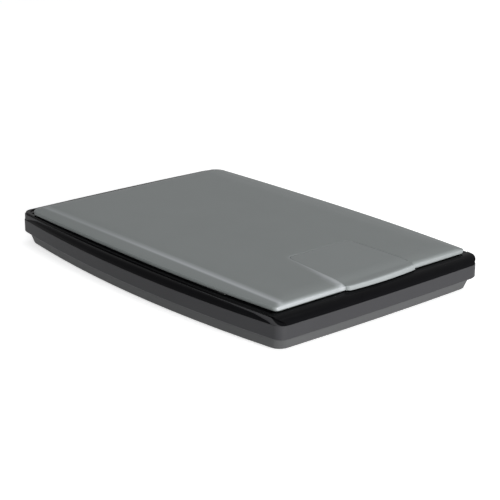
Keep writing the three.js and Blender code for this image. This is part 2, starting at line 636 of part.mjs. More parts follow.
// The liner closes the cover from below and carries the pad; it is notched round the hinges.
function lidLiner() {
  const ring = lidInnerRing(GAP);
  const plate = loft([[ring, linerBottom], [ring, linerBottom + LINER.thickness]]);
  const notches = bothSides.map(([, side]) => {
    const x = side * hingeX;
    const halfX = HINGE.width / 2 + HINGE.lugWidth + 2 * GAP;
    return block(x - halfX, x + halfX, hingeY - HINGE.lugFront - HINGE.knuckle, halfLength,
      lidBottom - OVERRUN, lidTop);
  });
  return cut(plate, ...notches);
}
function documentPad() {
  return block(-openingHalf + PAD.margin, openingHalf - PAD.margin, openingFront - PAD.endMargin,
    openingRear + PAD.endMargin, linerBottom - GAP - PAD.thickness, linerBottom - GAP);
}

// A hinge post slides in its well, so that the cover lifts over a book; the knuckle on
// its top turns on the pin.
function hingePost(side) {
  const x = side * hingeX;
  const blade = block(x - HINGE.width / 2, x + HINGE.width / 2, hingeY - HINGE.knuckle, hingeY + HINGE.knuckle,
    hingeZ - bladeLength, hingeZ);
  const knuckle = barX(x - HINGE.width / 2, x + HINGE.width / 2, hingeY, hingeZ, HINGE.knuckle);
  const bore = barX(x - HINGE.width, x + HINGE.width, hingeY, hingeZ, HINGE.pin + GAP);
  return cut(join(blade, knuckle), bore);
}
const hingePin = (side) => barX(side * hingeX - HINGE.width / 2 - HINGE.lugWidth,
  side * hingeX + HINGE.width / 2 + HINGE.lugWidth, hingeY, hingeZ, HINGE.pin);

// The carriage: a channel under the sensor, with a bearing on the rod, a bracket for the
// motor and two fins for the lock. Y is counted from the scan line.
const rodZ = floorTop + ROD.height;
const channelBottom = floorTop + CARRIAGE.floorHeight - CARRIAGE.floor;
const channelTop = channelBottom + CARRIAGE.floor;
const pitchLine = floorTop + GAP + RACK.base + GEAR.addendum;
const gearZ = pitchLine + GEAR.pitchRadius;
const pinionRadius = (GEAR.pitchRadius * GEAR.pinionTeeth) / GEAR.teeth;
const gearY = -GEAR.forward;
const pinionY = gearY - GEAR.pitchRadius - pinionRadius - GAP;
const bracketX = gearX + GEAR.width + GAP;
function carriageFrame() {
  const half = openingHalf - CARRIAGE.endGap;
  const depth = CARRIAGE.halfDepth;
  const channel = cut(
    block(-half, half, -depth, depth, channelBottom, channelTop + CARRIAGE.wallHeight),
    block(-half - OVERRUN, half + OVERRUN, -depth + CARRIAGE.wall, depth - CARRIAGE.wall, channelTop, lidTop));
  const bearingHalf = rodHalf - CLAMP.depth - CARRIAGE.clampGap - homeY;
  const bearing = block(-CARRIAGE.bearingWidth / 2, CARRIAGE.bearingWidth / 2, -bearingHalf, bearingHalf,
    floorTop + 2 * GAP, channelTop);
  const plate = block(bracketX, bracketX + BRACKET.thickness, pinionY - BRACKET.front, -depth + CARRIAGE.wall,
    gearZ - BRACKET.drop, gearZ + BRACKET.rise);
  const finX = lockX + LOCK.width + LOCK.finGap;
  const fins = bothEnds.map(([, end]) => {
    const near = end * (LOCK.tongue + LOCK.finGap);
    const far = near + end * LOCK.fin;
    return block(finX, finX + LOCK.width, Math.min(near, far), Math.max(near, far),
      channelBottom - LOCK.finHeight, channelTop);
  });
  const bore = barY(0, -bearingHalf - OVERRUN, bearingHalf + OVERRUN, rodZ, ROD.radius + GAP);
  const gearAxle = barX(bracketX - GEAR.width - GAP, bracketX + GAP, gearY, gearZ, GEAR.bore - GAP);
  return join(cut(join(channel, bearing, plate, ...fins), bore,
    barX(bracketX - OVERRUN, bracketX + OVERRUN, pinionY, gearZ, MOTOR.shaft + GAP)), gearAxle);
}
function driveGear() {
  const loop = gearLoop({ teeth: GEAR.teeth, pitchRadius: GEAR.pitchRadius, y: gearY, z: gearZ, turn: 0 });
  return cut(prismX(loop, gearX, gearX + GEAR.width),
    barX(gearX - OVERRUN, gearX + GEAR.width + OVERRUN, gearY, gearZ, GEAR.bore));
}
function motorPinion() {
  // The gear's teeth reach the mesh at this share of a tooth, so the pinion turns to match.
  const meshShare = (GEAR.teeth * 3 / 4) % 1;
  const meshTurn = Math.PI / 2 + (Math.PI * (1 + 2 * meshShare)) / GEAR.pinionTeeth;
  const loop = gearLoop({
    teeth: GEAR.pinionTeeth, pitchRadius: pinionRadius, y: pinionY, z: gearZ, turn: meshTurn,
  });
  return cut(prismX(loop, gearX, gearX + GEAR.width),
    barX(gearX - OVERRUN, gearX + GEAR.width + OVERRUN, pinionY, gearZ, MOTOR.shaft + GAP));
}
function stepperMotor() {
  const can = bracketX + BRACKET.thickness + GAP;
  return join(barX(can, can + MOTOR.length, pinionY, gearZ, MOTOR.radius),
    barX(gearX, can + GAP, pinionY, gearZ, MOTOR.shaft));
}

// The rack lies on the tray's floor; its teeth mesh with the drive gear from below.
function driveRack() {
  const pitch = (2 * Math.PI * GEAR.pitchRadius) / GEAR.teeth;
  const bottom = floorTop + GAP;
  const root = pitchLine - GEAR.addendum - GAP;
  const tip = pitchLine + GEAR.addendum - GAP;
  const toothShares = [-0.3, -0.13, 0.13, 0.3];
  const start = homeY + gearY;
  const behind = Math.floor(GEAR.pitchRadius / pitch);
  const ahead = Math.ceil((travel + GEAR.pitchRadius) / pitch);
  const loop = [];
  for (let tooth = -ahead; tooth < behind; tooth += 1) {
    toothShares.forEach((share, corner) => {
      const isTip = corner === 1 || corner === 2;
      loop.push([start + (tooth + 1 / 2 + share) * pitch, isTip ? tip : root]);
    });
  }
  loop.push([start + behind * pitch, root], [start + behind * pitch, bottom],
    [start - ahead * pitch, bottom], [start - ahead * pitch, root]);
  return prismX(loop, gearX, gearX + RACK.width);
}

// The contact image sensor: a long housing with slots for its lens row and light guide.
const sensorBottom = trayBottom + SENSOR.bottom;
const padTop = railUnder - GAP;
const earTop = padTop - SENSOR.padThickness - GAP;
const sensorTop = padTop - GAP;
const sensorHalf = openingHalf - SENSOR.endGap;
const slotHalf = sensorHalf - SENSOR.opticsShort;
function sensorSlot(y, width, grow) {
  return block(-slotHalf - grow, slotHalf + grow, y - width / 2 - grow, y + width / 2 + grow,
    sensorTop - SENSOR.slotDepth - grow, grow > 0 ? sensorTop + OVERRUN : sensorTop - GAP);
}
function sensorHousing() {
  const body = block(-sensorHalf, sensorHalf, -SENSOR.halfDepth, SENSOR.halfDepth, sensorBottom, sensorTop);
  const ears = block(-sensorHalf - SENSOR.ear, sensorHalf + SENSOR.ear, -SENSOR.padDepth / 2, SENSOR.padDepth / 2,
    earTop - SENSOR.earThickness, earTop);
  const boardSeat = block(-slotHalf - GAP, slotHalf + GAP, -SENSOR.boardHalf - GAP, SENSOR.boardHalf + GAP,
    sensorBottom - OVERRUN, sensorBottom + SENSOR.boardRecess);
  return cut(join(body, ears), sensorSlot(0, SENSOR.lensWidth, GAP),
    sensorSlot(SENSOR.lightShift + SENSOR.lensWidth / 2, SENSOR.lightWidth, GAP), boardSeat);
}
const glidePad = (side) => {
  const middle = side * (sensorHalf + SENSOR.ear - SENSOR.padLength / 2 - GAP);
  return block(middle - SENSOR.padLength / 2, middle + SENSOR.padLength / 2,
    -SENSOR.padDepth / 2, SENSOR.padDepth / 2, earTop + GAP, padTop);
};
const sensorBoard = () => block(-slotHalf, slotHalf, -SENSOR.boardHalf, SENSOR.boardHalf,
  sensorBottom + SENSOR.boardRecess - GAP - SENSOR.boardThickness, sensorBottom + SENSOR.boardRecess - GAP);
const sensorSpring = (side) => post(side * (sensorHalf - SPRING.fromEnd), SENSOR.halfDepth - SPRING.radius,
  channelTop + GAP, sensorBottom - GAP, SPRING.radius);

// The lock: a slider in the tray's floor whose tongue moves in between the carriage's fins.
function lockSlider() {
  const left = lockX;
  const right = left + LOCK.width;
  const flangeBottom = floorTop + GAP;
  const flangeTop = flangeBottom + LOCK.flangeThickness;
  return join(
    block(left, right, homeY - LOCK.neck, homeY + LOCK.neck, trayBottom + GAP, flangeTop),
    block(left - LOCK.flangeEdge, right + LOCK.flangeEdge, homeY - LOCK.flange, homeY + LOCK.flange,
      flangeBottom, flangeTop),
    block(left, right, homeY - LOCK.tongue, homeY + LOCK.tongue, flangeBottom, flangeTop + LOCK.tongueHeight));
}

// The clamps that hold the guide rod's ends to the floor.
function rodClamp(end) {
  const near = end * (rodHalf - CLAMP.depth);
  const far = end * rodHalf;
  const body = block(-CLAMP.width / 2, CLAMP.width / 2, Math.min(near, far), Math.max(near, far),
    floorTop + GAP, rodZ + ROD.radius + CLAMP.head / 2);
  return cut(body, barY(0, -CASE_LENGTH, CASE_LENGTH, rodZ, ROD.radius + GAP));
}

// The flat cable: from the board down to the floor, forward, and back under the carriage.
function flexCable() {
  const left = -FLEX.left;
  const right = left + FLEX.width;
  const thin = FLEX.thickness;
  const rear = boardFront - GAP;
  const low = floorTop + GAP;
  const high = channelBottom - GAP;
  const front = homeY - FLEX.run;
  return join(
    block(left, right, rear - thin, rear, low, boardBottom + FLEX.tail),
    block(left, right, front, rear, low, low + thin),
    block(left, right, front, front + thin, low, high),
    block(left, right, front, homeY + FLEX.tail, high - thin, high));
}

// The base
place(base, 'lower_case', lowerCase(), paint.tray);
place(base, 'upper_case', upperCase(), paint.dark);
place(base, 'top_frame', topFrame(), paint.gloss);
place(base, 'front_fascia', frontFascia(), paint.gloss);
bothSides.forEach(([name, side]) => place(base, `side_trim_${name}`, sideTrim(side), paint.gloss));
place(base, 'platen_glass', block(-pocketHalf + GAP, pocketHalf - GAP, pocketFront + GAP, pocketRear - GAP,
  glassUnder, glassTop), paint.glass);
const calibrationFront = openingRear + CALIBRATION.fromOpening;
place(base, 'calibration_strip', block(
  -openingHalf + GAP, openingHalf - GAP, calibrationFront, calibrationFront + CALIBRATION.width,
  railUnder, railUnder + CALIBRATION.thickness,
), paint.white);
place(base, 'ruler_front', rulerFrontSeat(0), paint.black);
place(base, 'ruler_side', rulerSideSeat(0), paint.black);
atCorners((name, x, y) => {
  const foot = post(x * footX, y * footY, 0, trayBottom + FOOT.seat - GAP, FOOT.radius);
  place(base, `foot_${name}`, foot, paint.rubber);
});
atCorners((name, x, y) => {
  const headTop = trayBottom + SCREW.seatDepth - GAP;
  const head = post(x * screwX, y * SCREW.along, headTop - SCREW.headHeight, headTop, SCREW.headRadius);
  const shank = post(x * screwX, y * SCREW.along, headTop - GAP, headTop + SCREW.length, SCREW.shank);
  place(base, `case_screw_${name}`, join(head, shank), paint.steel);
});
place(base, 'guide_rod', barY(0, -rodHalf, rodHalf, rodZ, ROD.radius), paint.steel);
bothEnds.forEach(([name, end]) => place(base, `rod_clamp_${name}`, rodClamp(end), paint.black));
place(base, 'drive_rack', driveRack(), paint.black);
place(base, 'lock_slider', lockSlider(), paint.black);
place(base, 'main_board', block(boardLeft, boardRight, boardFront, boardFront + BOARD.thickness,
  boardBottom, boardBottom + BOARD.height), paint.board);
place(base, 'usb_socket', usbSocket(), paint.steel);
place(base, 'flex_cable', flexCable(), paint.ribbon);

// The carriage, with everything that rides on it
place(carriage, 'carriage_frame', carriageFrame(), paint.black);
place(carriage, 'drive_gear', driveGear(), paint.white);
place(carriage, 'motor_pinion', motorPinion(), paint.brass);
place(carriage, 'stepper_motor', stepperMotor(), paint.steel);
place(carriage, 'sensor_housing', sensorHousing(), paint.black);
place(carriage, 'lens_row', sensorSlot(0, SENSOR.lensWidth, 0), paint.gloss);
const lightPlace = SENSOR.lightShift + SENSOR.lensWidth / 2;
place(carriage, 'light_guide', sensorSlot(lightPlace, SENSOR.lightWidth, 0), paint.white);
place(carriage, 'sensor_board', sensorBoard(), paint.board);
bothSides.forEach(([name, side]) => place(carriage, `glide_pad_${name}`, glidePad(side), paint.white));
bothSides.forEach(([name, side]) => place(carriage, `sensor_spring_${name}`, sensorSpring(side), paint.steel));

// The cover and its hinges
place(cover, 'lid_shell', lidShell(), paint.silver);
place(cover, 'lift_tab', liftTab(), paint.silver);
place(cover, 'lid_liner', lidLiner(), paint.dark);
place(cover, 'document_pad', documentPad(), paint.white);
bothSides.forEach(([name, side]) => {
  const bumperY = rulerRear - RULER.width - BUMPER.fromRuler - BUMPER.radius;
  const bumper = post(side * (halfWidth - BUMPER.fromSide), bumperY, deckTop + GAP, linerBottom - GAP, BUMPER.radius);
  place(cover, `lid_bumper_${name}`, bumper, paint.rubber);
  place(cover, `hinge_post_${name}`, hingePost(side), paint.dark);
  place(cover, `hinge_pin_${name}`, hingePin(side), paint.steel);
});

export default scanner;
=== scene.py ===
# %% [markdown]
# # A slim flatbed scanner, dressed for its portrait
# The engineering model already holds every part at its true size and place. This lesson loads it as a
# fixed frame, keeps the parts whose shapes are right, and makes finer surfaces for the ones that the
# eye rests on: the cover, its lift tab, the gloss strips and the small parts inside.

# %% Load the frame
import json
import math

import bmesh
import bpy
import numpy as np
from mathutils import Matrix, Vector

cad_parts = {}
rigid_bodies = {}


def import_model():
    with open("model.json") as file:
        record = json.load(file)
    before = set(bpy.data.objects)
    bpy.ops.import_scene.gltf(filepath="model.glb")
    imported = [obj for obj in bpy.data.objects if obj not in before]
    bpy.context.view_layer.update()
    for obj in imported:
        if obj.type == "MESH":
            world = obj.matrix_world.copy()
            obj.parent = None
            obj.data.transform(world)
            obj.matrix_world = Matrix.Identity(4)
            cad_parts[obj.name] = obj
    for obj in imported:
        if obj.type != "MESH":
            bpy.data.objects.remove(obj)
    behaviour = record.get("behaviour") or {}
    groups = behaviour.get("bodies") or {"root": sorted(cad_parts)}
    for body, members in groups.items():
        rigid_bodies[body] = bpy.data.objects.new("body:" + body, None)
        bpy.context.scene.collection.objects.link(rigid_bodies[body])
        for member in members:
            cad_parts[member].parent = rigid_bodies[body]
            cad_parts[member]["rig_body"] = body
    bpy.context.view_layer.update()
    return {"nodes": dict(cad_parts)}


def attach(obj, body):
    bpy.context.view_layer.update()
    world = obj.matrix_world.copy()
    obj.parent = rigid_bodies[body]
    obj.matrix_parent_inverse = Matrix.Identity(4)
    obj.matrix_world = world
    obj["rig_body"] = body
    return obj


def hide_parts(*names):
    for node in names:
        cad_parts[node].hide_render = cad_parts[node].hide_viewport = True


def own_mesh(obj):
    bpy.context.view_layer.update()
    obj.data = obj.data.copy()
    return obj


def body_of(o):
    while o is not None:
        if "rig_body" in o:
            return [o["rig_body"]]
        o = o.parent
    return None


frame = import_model()
MM = 0.001  # every measure below is in millimetres times this

# %% [markdown]
# ## Looking at it
# The camera stands low at the front left corner, far enough away that the long sides stay almost
# parallel. Its place was worked out from the edges of the object, so it is given as an azimuth, an
# elevation, a distance and a small roll, and turned into a matrix here.


# %% Camera
def add_object(name, data):
    """A new object, linked to the scene."""
    thing = bpy.data.objects.new(name, data)
    bpy.context.scene.collection.objects.link(thing)
    return thing


def camera_matrix(azimuth, elevation, roll, distance, target):
    """Three axes at right angles: back points from the target to the lens, right is level before
    the roll, and up is back crossed with right. The roll turns right and up about back."""
    a, e, r = map(math.radians, (azimuth, elevation, roll))
    back = Vector((math.sin(a) * math.cos(e), -math.cos(a) * math.cos(e), math.sin(e)))
    right = Vector((math.cos(a), math.sin(a), 0))
    up = back.cross(right)
    turned = (right * math.cos(r) + up * math.sin(r), up * math.cos(r) - right * math.sin(r), back)
    return Matrix.Translation(Vector(target) + back * distance) @ Matrix(turned).transposed().to_4x4()


AZIMUTH, ELEVATION, ROLL = -40.901, 18.726, 0.205  # degrees
DISTANCE, TARGET = 1.2801, (-0.01174, -0.02818, 0.02487)  # metres
FOCAL_LENGTH, SENSOR_WIDTH = 101.38, 36.0

lens = bpy.data.cameras.new("portrait_lens")
lens.lens, lens.sensor_width, lens.sensor_fit = FOCAL_LENGTH, SENSOR_WIDTH, "HORIZONTAL"
lens.clip_start, lens.clip_end = 0.05, 50
camera = add_object("portrait_camera", lens)
camera.matrix_world = camera_matrix(AZIMUTH, ELEVATION, ROLL, DISTANCE, TARGET)
bpy.context.scene.camera = camera
bpy.context.scene.view_settings.view_transform = "Standard"
print("camera at", [round(v, 3) for v in camera.matrix_world.translation])

# %% [markdown]
# ## Light
# Front faces are more than twice as bright as the left ones, and the top is no brighter than the left
# side. So the main light is a wide, low, soft panel in front, a little to the left. A pale world fills
# the rest: plain white where the lens, a reflection or the glass looks at it, and dimmer as a light.


# %% Lamps and world
def panel_lamp(name, place, aim, wide, tall, power):
    """A rectangular area lamp at one point that faces another."""
    data = bpy.data.lights.new(name, "AREA")
    data.shape, data.size, data.size_y, data.energy = "RECTANGLE", wide, tall, power
    lamp = add_object(name, data)
    lamp.location = place
    lamp.rotation_euler = (Vector(aim) - Vector(place)).to_track_quat("-Z", "Y").to_euler()


FRONT_WATTS, TOP_WATTS, FILL_STRENGTH = 112, 17, 0.33
panel_lamp("front_panel", (-0.55, -2.45, 0.5), (0, 0, 0.03), 1.5, 0.7, FRONT_WATTS)
panel_lamp("top_panel", (0.5, -0.4, 2.6), (0, 0, 0), 2.0, 2.0, TOP_WATTS)


def add_node(tree, kind, **settings):
    """A shader node of a kind, with some of its settings."""
    node = tree.nodes.new("ShaderNode" + kind)
    for name, value in settings.items():
        setattr(node, name, value)
    return node


def put(tree, value, socket):
    """Links a socket to another, or sets its value."""
    if isinstance(value, bpy.types.NodeSocket):
        tree.links.new(value, socket)
    else:
        socket.default_value = value


def plug(tree, node, values):
    """Links or sets several inputs of a node, each by its name."""
    for name, value in values.items():
        put(tree, value, node.inputs[name])


def plug_in_order(tree, node, *values):
    """Links or sets a node's inputs in their order, and gives its first output."""
    for socket, value in zip(node.inputs, values):
        put(tree, value, socket)
    return node.outputs[0]


def math_node(tree, operation, *values):
    """The result of a Math node whose inputs are numbers or sockets."""
    return plug_in_order(tree, add_node(tree, "Math", operation=operation), *values)


def looked_at(tree):
    """One where the lens, a reflection or the glass looks, and nought for light that falls."""
    path = add_node(tree, "LightPath").outputs
    direct = math_node(tree, "MAXIMUM", path["Is Camera Ray"], path["Is Glossy Ray"])
    return math_node(tree, "MAXIMUM", direct, path["Is Transmission Ray"])


world = bpy.data.worlds.new("studio")
bpy.context.scene.world = world
world.use_nodes = True
tree = world.node_tree
tree.nodes.clear()
seen, fill = add_node(tree, "Background"), add_node(tree, "Background")
plug(tree, seen, {"Color": (1, 1, 1, 1), "Strength": 1.0})
plug(tree, fill, {"Color": (0.97, 0.985, 1, 1), "Strength": FILL_STRENGTH})
pick = plug_in_order(tree, add_node(tree, "MixShader"), looked_at(tree), fill.outputs[0], seen.outputs[0])
plug(tree, add_node(tree, "OutputWorld"), {"Surface": pick})
print("two panels and a white world")

# %% [markdown]
# ## Finishes
# Every finish is a Principled surface with a little of what the real one shows: paint flake, moulding
# grain, rubbed edges, printed ticks. Effects that several finishes share are node groups with named
# sockets, so that each is written once.


# %% A shared effect: moulding grain
def new_group(name, outputs, **inputs):
    """A shader node group with the given sockets, and the sockets of its two end nodes."""
    group = bpy.data.node_groups.new(name, "ShaderNodeTree")
    for label, value in inputs.items():
        group.interface.new_socket(label, in_out="INPUT", socket_type="NodeSocketFloat").default_value = value
    for label in outputs:
        group.interface.new_socket(label, in_out="OUTPUT", socket_type="NodeSocketFloat")
    return group, group.nodes.new("NodeGroupInput").outputs, group.nodes.new("NodeGroupOutput").inputs


def noise(tree, scale, detail=2.0):
    """Noise in the object's own coordinates."""
    cloud = add_node(tree, "TexNoise")
    place = add_node(tree, "TexCoord").outputs["Object"]
    plug(tree, cloud, {"Vector": place, "Scale": scale, "Detail": detail})
    return cloud.outputs["Fac"]


grain_group, inward, outward = new_group("moulding_grain", ["Shade", "Height"],
                                         Scale=1500.0, Tint=0.06, Patch=25.0)
fine = noise(grain_group, inward["Scale"], 3.0)
broad = noise(grain_group, inward["Patch"])
swing = math_node(grain_group, "SUBTRACT", math_node(grain_group, "ADD", fine, broad), 1.0)
put(grain_group, math_node(grain_group, "MULTIPLY_ADD", swing, inward["Tint"], 1.0), outward["Shade"])
put(grain_group, fine, outward["Height"])
print("effect:", grain_group.name)

# %% [markdown]
# Plastic is handled most at its edges, where the grain wears smooth and pale. A Bevel node bends the
# surface direction near an edge, so the angle between that and the true direction marks the edges.

# %% A shared effect: rubbed edges
wear_group, inward, outward = new_group("edge_wear", ["Mask"], Radius=0.6 * MM, Breakup=180.0, Amount=0.5)
rounding = add_node(wear_group, "Bevel", samples=4)
plug(wear_group, rounding, {"Radius": inward["Radius"]})
turn = add_node(wear_group, "VectorMath", operation="DOT_PRODUCT")
geometry = add_node(wear_group, "NewGeometry").outputs
plug_in_order(wear_group, turn, rounding.outputs["Normal"], geometry["Normal"])
bent = math_node(wear_group, "MULTIPLY", math_node(wear_group, "SUBTRACT", 1.0, turn.outputs["Value"]), 4.0)
patchy = math_node(wear_group, "MULTIPLY", bent, noise(wear_group, inward["Breakup"]))
rubbed = math_node(wear_group, "MULTIPLY", patchy, inward["Amount"])
put(wear_group, math_node(wear_group, "MINIMUM", rubbed, 1.0), outward["Mask"])
print("effect:", wear_group.name)

# %% [markdown]
# Printed ticks, cable conductors and board tracks are all thin lines at an even pitch. The line mask is
# one where the distance to the nearest whole multiple of the pitch is less than half the line's width.

# %% A shared effect: lines at an even pitch
line_group, inward, outward = new_group("pitch_lines", ["Mask"], Along=0.0, Pitch=1.0 * MM, Width=0.2 * MM)
turns = math_node(line_group, "ADD", math_node(line_group, "DIVIDE", inward["Along"], inward["Pitch"]), 0.5)
from_line = math_node(line_group, "SUBTRACT", math_node(line_group, "FRACT", turns), 0.5)
away = math_node(line_group, "ABSOLUTE", from_line)
line_share = math_node(line_group, "DIVIDE", inward["Width"], inward["Pitch"])
half = math_node(line_group, "DIVIDE", line_share, 2.0)
put(line_group, math_node(line_group, "LESS_THAN", away, half), outward["Mask"])
print("effect:", line_group.name)

# %% [markdown]
# Moulded, painted and plated parts differ in colour, gloss and grain, but are built up alike. One
# function holds that recipe, so a finish is one line of numbers.


# %% A recipe for moulded and metal parts
def use_group(tree, group, **values):
    """A node that runs a group, with numbers or sockets for its inputs."""
    node = add_node(tree, "Group", node_tree=group)
    plug(tree, node, values)
    return node.outputs


def mixed(tree, share, first, second):
    """A colour that turns from the first to the second as the share goes from nought to one."""
    blend = add_node(tree, "Mix", data_type="RGBA")
    sockets = [s for s in blend.inputs if s.type == "RGBA"]
    put(tree, share, blend.inputs["Factor"])
    for socket, colour in zip(sockets, (first, second)):
        put(tree, (*colour, 1) if isinstance(colour, tuple) else colour, socket)
    return next(s for s in blend.outputs if s.type == "RGBA")


def new_surface(name):
    """A material, its tree, and the node of its Principled surface."""
    material = bpy.data.materials.new(name)
    material.use_nodes = True
    return material, material.node_tree, material.node_tree.nodes["Principled BSDF"]


def scaled(tree, colour, share):
    """A colour times a share."""
    product = add_node(tree, "VectorMath", operation="SCALE")
    plug(tree, product, {"Vector": colour, "Scale": share})
    return product.outputs[0]


RELIEF = 0.05 * MM  # how high the grain stands at a bump of one


def finish(name, colour, roughness, grain, tint, bump=0.0, worn=None, wear=0.0, metallic=0.0, level=0.3,
           swing=0.06, pattern=None, patch=25.0):
    """A Principled surface whose colour is its shade times the grain, paler where edges are rubbed, with
    the grain in its roughness and bump. A pattern is a function that paints over the colour."""
    material, tree, surface = new_surface(name)
    texture = use_group(tree, grain_group, Scale=float(grain), Tint=tint, Patch=patch)
    shade = scaled(tree, pattern(tree, colour) if pattern else colour, texture["Shade"])
    if wear:
        shade = mixed(tree, use_group(tree, wear_group, Amount=wear)["Mask"], shade, worn)
    varied = math_node(tree, "MULTIPLY_ADD", texture["Height"], swing, roughness - swing / 2)
    plug(tree, surface, {"Base Color": shade, "Roughness": varied, "Metallic": metallic,
                         "Specular IOR Level": level})
    if bump:
        relief = add_node(tree, "Bump")
        plug(tree, relief, {"Strength": bump, "Distance": RELIEF, "Height": texture["Height"]})
        plug(tree, surface, {"Normal": relief.outputs["Normal"]})
    return material


print("recipe ready")

# %% [markdown]
# Ticks, conductors, tracks and a painted highlight on the cover's crests are painted over a colour. Each
# is a function of the colour, so that any finish can take one.


# %% Patterns that are painted over a colour
def axis_of(tree, name):
    """One of the object's own coordinates, X, Y or Z, in metres."""
    split = add_node(tree, "SeparateXYZ")
    plug(tree, split, {"Vector": add_node(tree, "TexCoord").outputs["Object"]})
    return split.outputs[name]


# the painted highlight on the crests is this many times the paint's mean shade
HIGHLIGHT_GAIN = 1.9


def painted_crest_highlight(tree, colour):
    """A painted highlight: the colour turns towards a paler, bluer grey where light catches a soft edge.
    The piece carries how near each point is to such an edge as a point attribute, read here by name."""
    painted_highlight = add_node(tree, "Attribute", attribute_name="painted_highlight")
    pale = HIGHLIGHT_GAIN * sum(colour) / 3
    return mixed(tree, painted_highlight.outputs["Fac"], colour, (0.955 * pale, pale, 1.03 * pale))


TICK_WIDTH, TICK_LENGTH, FIVE_MORE, TEN_MORE = 0.22 * MM, 0.8 * MM, 0.6 * MM, 0.7 * MM


def ticks(along, across, edge):
    """Ruler ticks every millimetre, longer at five and longest at ten, that start at the given edge."""
    def paint(tree, colour):
        place = axis_of(tree, along)
        depth = math_node(tree, "SUBTRACT", edge * MM, axis_of(tree, across))
        marks = [use_group(tree, line_group, Along=place, Pitch=pitch * MM, Width=TICK_WIDTH)
                 for pitch in (1, 5, 10)]
        ones, fives, tens = (mark["Mask"] for mark in marks)
        reach = math_node(tree, "ADD", math_node(tree, "MULTIPLY_ADD", fives, FIVE_MORE, TICK_LENGTH),
                          math_node(tree, "MULTIPLY", tens, TEN_MORE))
        inked = math_node(tree, "MULTIPLY", ones, math_node(tree, "LESS_THAN", depth, reach))
        return mixed(tree, inked, colour, (0.75, 0.75, 0.73))
    return paint


def conductors(tree, colour):
    """Grey conductors side by side inside a clear ribbon."""
    mask = use_group(tree, line_group, Along=axis_of(tree, "X"), Pitch=1.0 * MM, Width=0.6 * MM)["Mask"]
    return mixed(tree, mask, colour, (0.36, 0.37, 0.4))


def tracks(tree, colour):
    """Paler copper tracks under the board's green lacquer, broken off where a coarse noise is low."""
    mask = use_group(tree, line_group, Along=axis_of(tree, "Z"), Pitch=0.9 * MM, Width=0.35 * MM)["Mask"]
    there = math_node(tree, "GREATER_THAN", noise(tree, 160.0, 0.0), 0.5)
    return mixed(tree, math_node(tree, "MULTIPLY", mask, there), colour, (0.05, 0.24, 0.09))


# Each finish has its colour, roughness, grain scale, tint and bump, and then what it has besides.
DARK_FILM = (0.03, 0.03, 0.032)
RULER_FRONT_EDGE, RULER_SIDE_EDGE = -150.8, -112.8
FINISH = {
    # the silver paint gets a painted highlight along the cover's crests
    "silver_cover": finish("satin_silver", (0.166, 0.179, 0.177), 0.42, 2600, 0.07, 0.1, level=0.05,
                           pattern=painted_crest_highlight),
    "case_plastic": finish("graphite_plastic", (0.030, 0.030, 0.032), 0.5, 1800, 0.16, 0.4,
                           worn=(0.06, 0.06, 0.063), wear=0.5, level=0.12),
    "tray_plastic": finish("grey_tray_plastic", (0.060, 0.061, 0.062), 0.55, 1600, 0.14, 0.4,
                           worn=(0.1, 0.1, 0.104), wear=0.5, level=0.15),
    "gloss_black": finish("piano_black", (0.003, 0.003, 0.0035), 0.12, 90, 0.3, level=0.02, swing=0.08),
    "inner_black": finish("matt_black_plastic", (0.012, 0.012, 0.013), 0.6, 1500, 0.2, 0.4,
                          worn=(0.03, 0.03, 0.032), wear=0.4),
    "white_film": finish("white_film", (0.8, 0.8, 0.78), 0.6, 300, 0.05, 0.1),
    "ruler_film": finish("ruler_film_front", DARK_FILM, 0.4, 400, 0.1,
                         pattern=ticks("X", "Y", RULER_FRONT_EDGE)),
    "ruler_side_film": finish("ruler_film_side", DARK_FILM, 0.4, 400, 0.1,
                              pattern=ticks("Y", "X", RULER_SIDE_EDGE)),
    "foot_rubber": finish("foot_rubber", (0.02, 0.02, 0.02), 0.85, 900, 0.25, 0.6, level=0.2),
    "plated_steel": finish("plated_steel", (0.6, 0.6, 0.61), 0.3, 700, 0.12, 0.1, metallic=1.0, level=0.5),
    "circuit_board": finish("circuit_board", (0.02, 0.13, 0.05), 0.4, 500, 0.15, 0.2, level=0.5,
                            pattern=tracks),
    "flex_film": finish("flex_film", (0.7, 0.73, 0.76), 0.35, 300, 0.06, level=0.5, pattern=conductors),
    "gear_plastic": finish("gear_plastic", (0.8, 0.79, 0.75), 0.45, 600, 0.06, 0.1, level=0.4),
    "pinion_brass": finish("pinion_brass", (0.6, 0.45, 0.2), 0.3, 900, 0.12, 0.1, metallic=1.0, level=0.5),
    "pad_white": finish("pad_white", (0.44, 0.44, 0.432), 0.7, 1200, 0.05, 0.3, patch=60.0),
}
print(len(FINISH), "finishes")

# %% [markdown]
# The platen is clear float glass, faintly green. It is the one finish that lets light through.

# %% Clear glass
FINISH["platen_glass"], tree, surface = new_surface("float_glass")
texture = use_group(tree, grain_group, Scale=40.0, Tint=0.02)
plug(tree, surface, {"Transmission Weight": 1.0, "IOR": 1.5,
                     "Base Color": scaled(tree, (0.88, 0.95, 0.93), texture["Shade"]),
                     "Roughness": math_node(tree, "MULTIPLY", texture["Height"], 0.02)})


def stand_for(piece, body, slot, *nodes, finish_name=None):
    """A new piece takes the place of frame parts, moves with a body, and wears the finish of its slot
    or another that is named."""
    if nodes:
        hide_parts(*nodes)
    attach(piece, body)
    piece.data.materials.clear()
    piece.data.materials.append(FINISH[finish_name or slot])


print("glass is ready")

# %% [markdown]
# ## A few tools for surfaces
# Most of the finer pieces are one grid of points: rows of a profile, carried round a closed outline or
# along a path. One helper turns such a grid into a closed mesh, and others make the outlines.


# %% From a grid of points to a closed mesh
def smooth_object(mesh, sharp):
    """An object of the mesh's name, smooth apart from edges that turn by more than the sharp angle."""
    mesh.polygons.foreach_set("use_smooth", np.ones(len(mesh.polygons), bool))
    mesh.set_sharp_from_angle(angle=math.radians(sharp))
    mesh.update()
    return add_object(mesh.name, mesh)


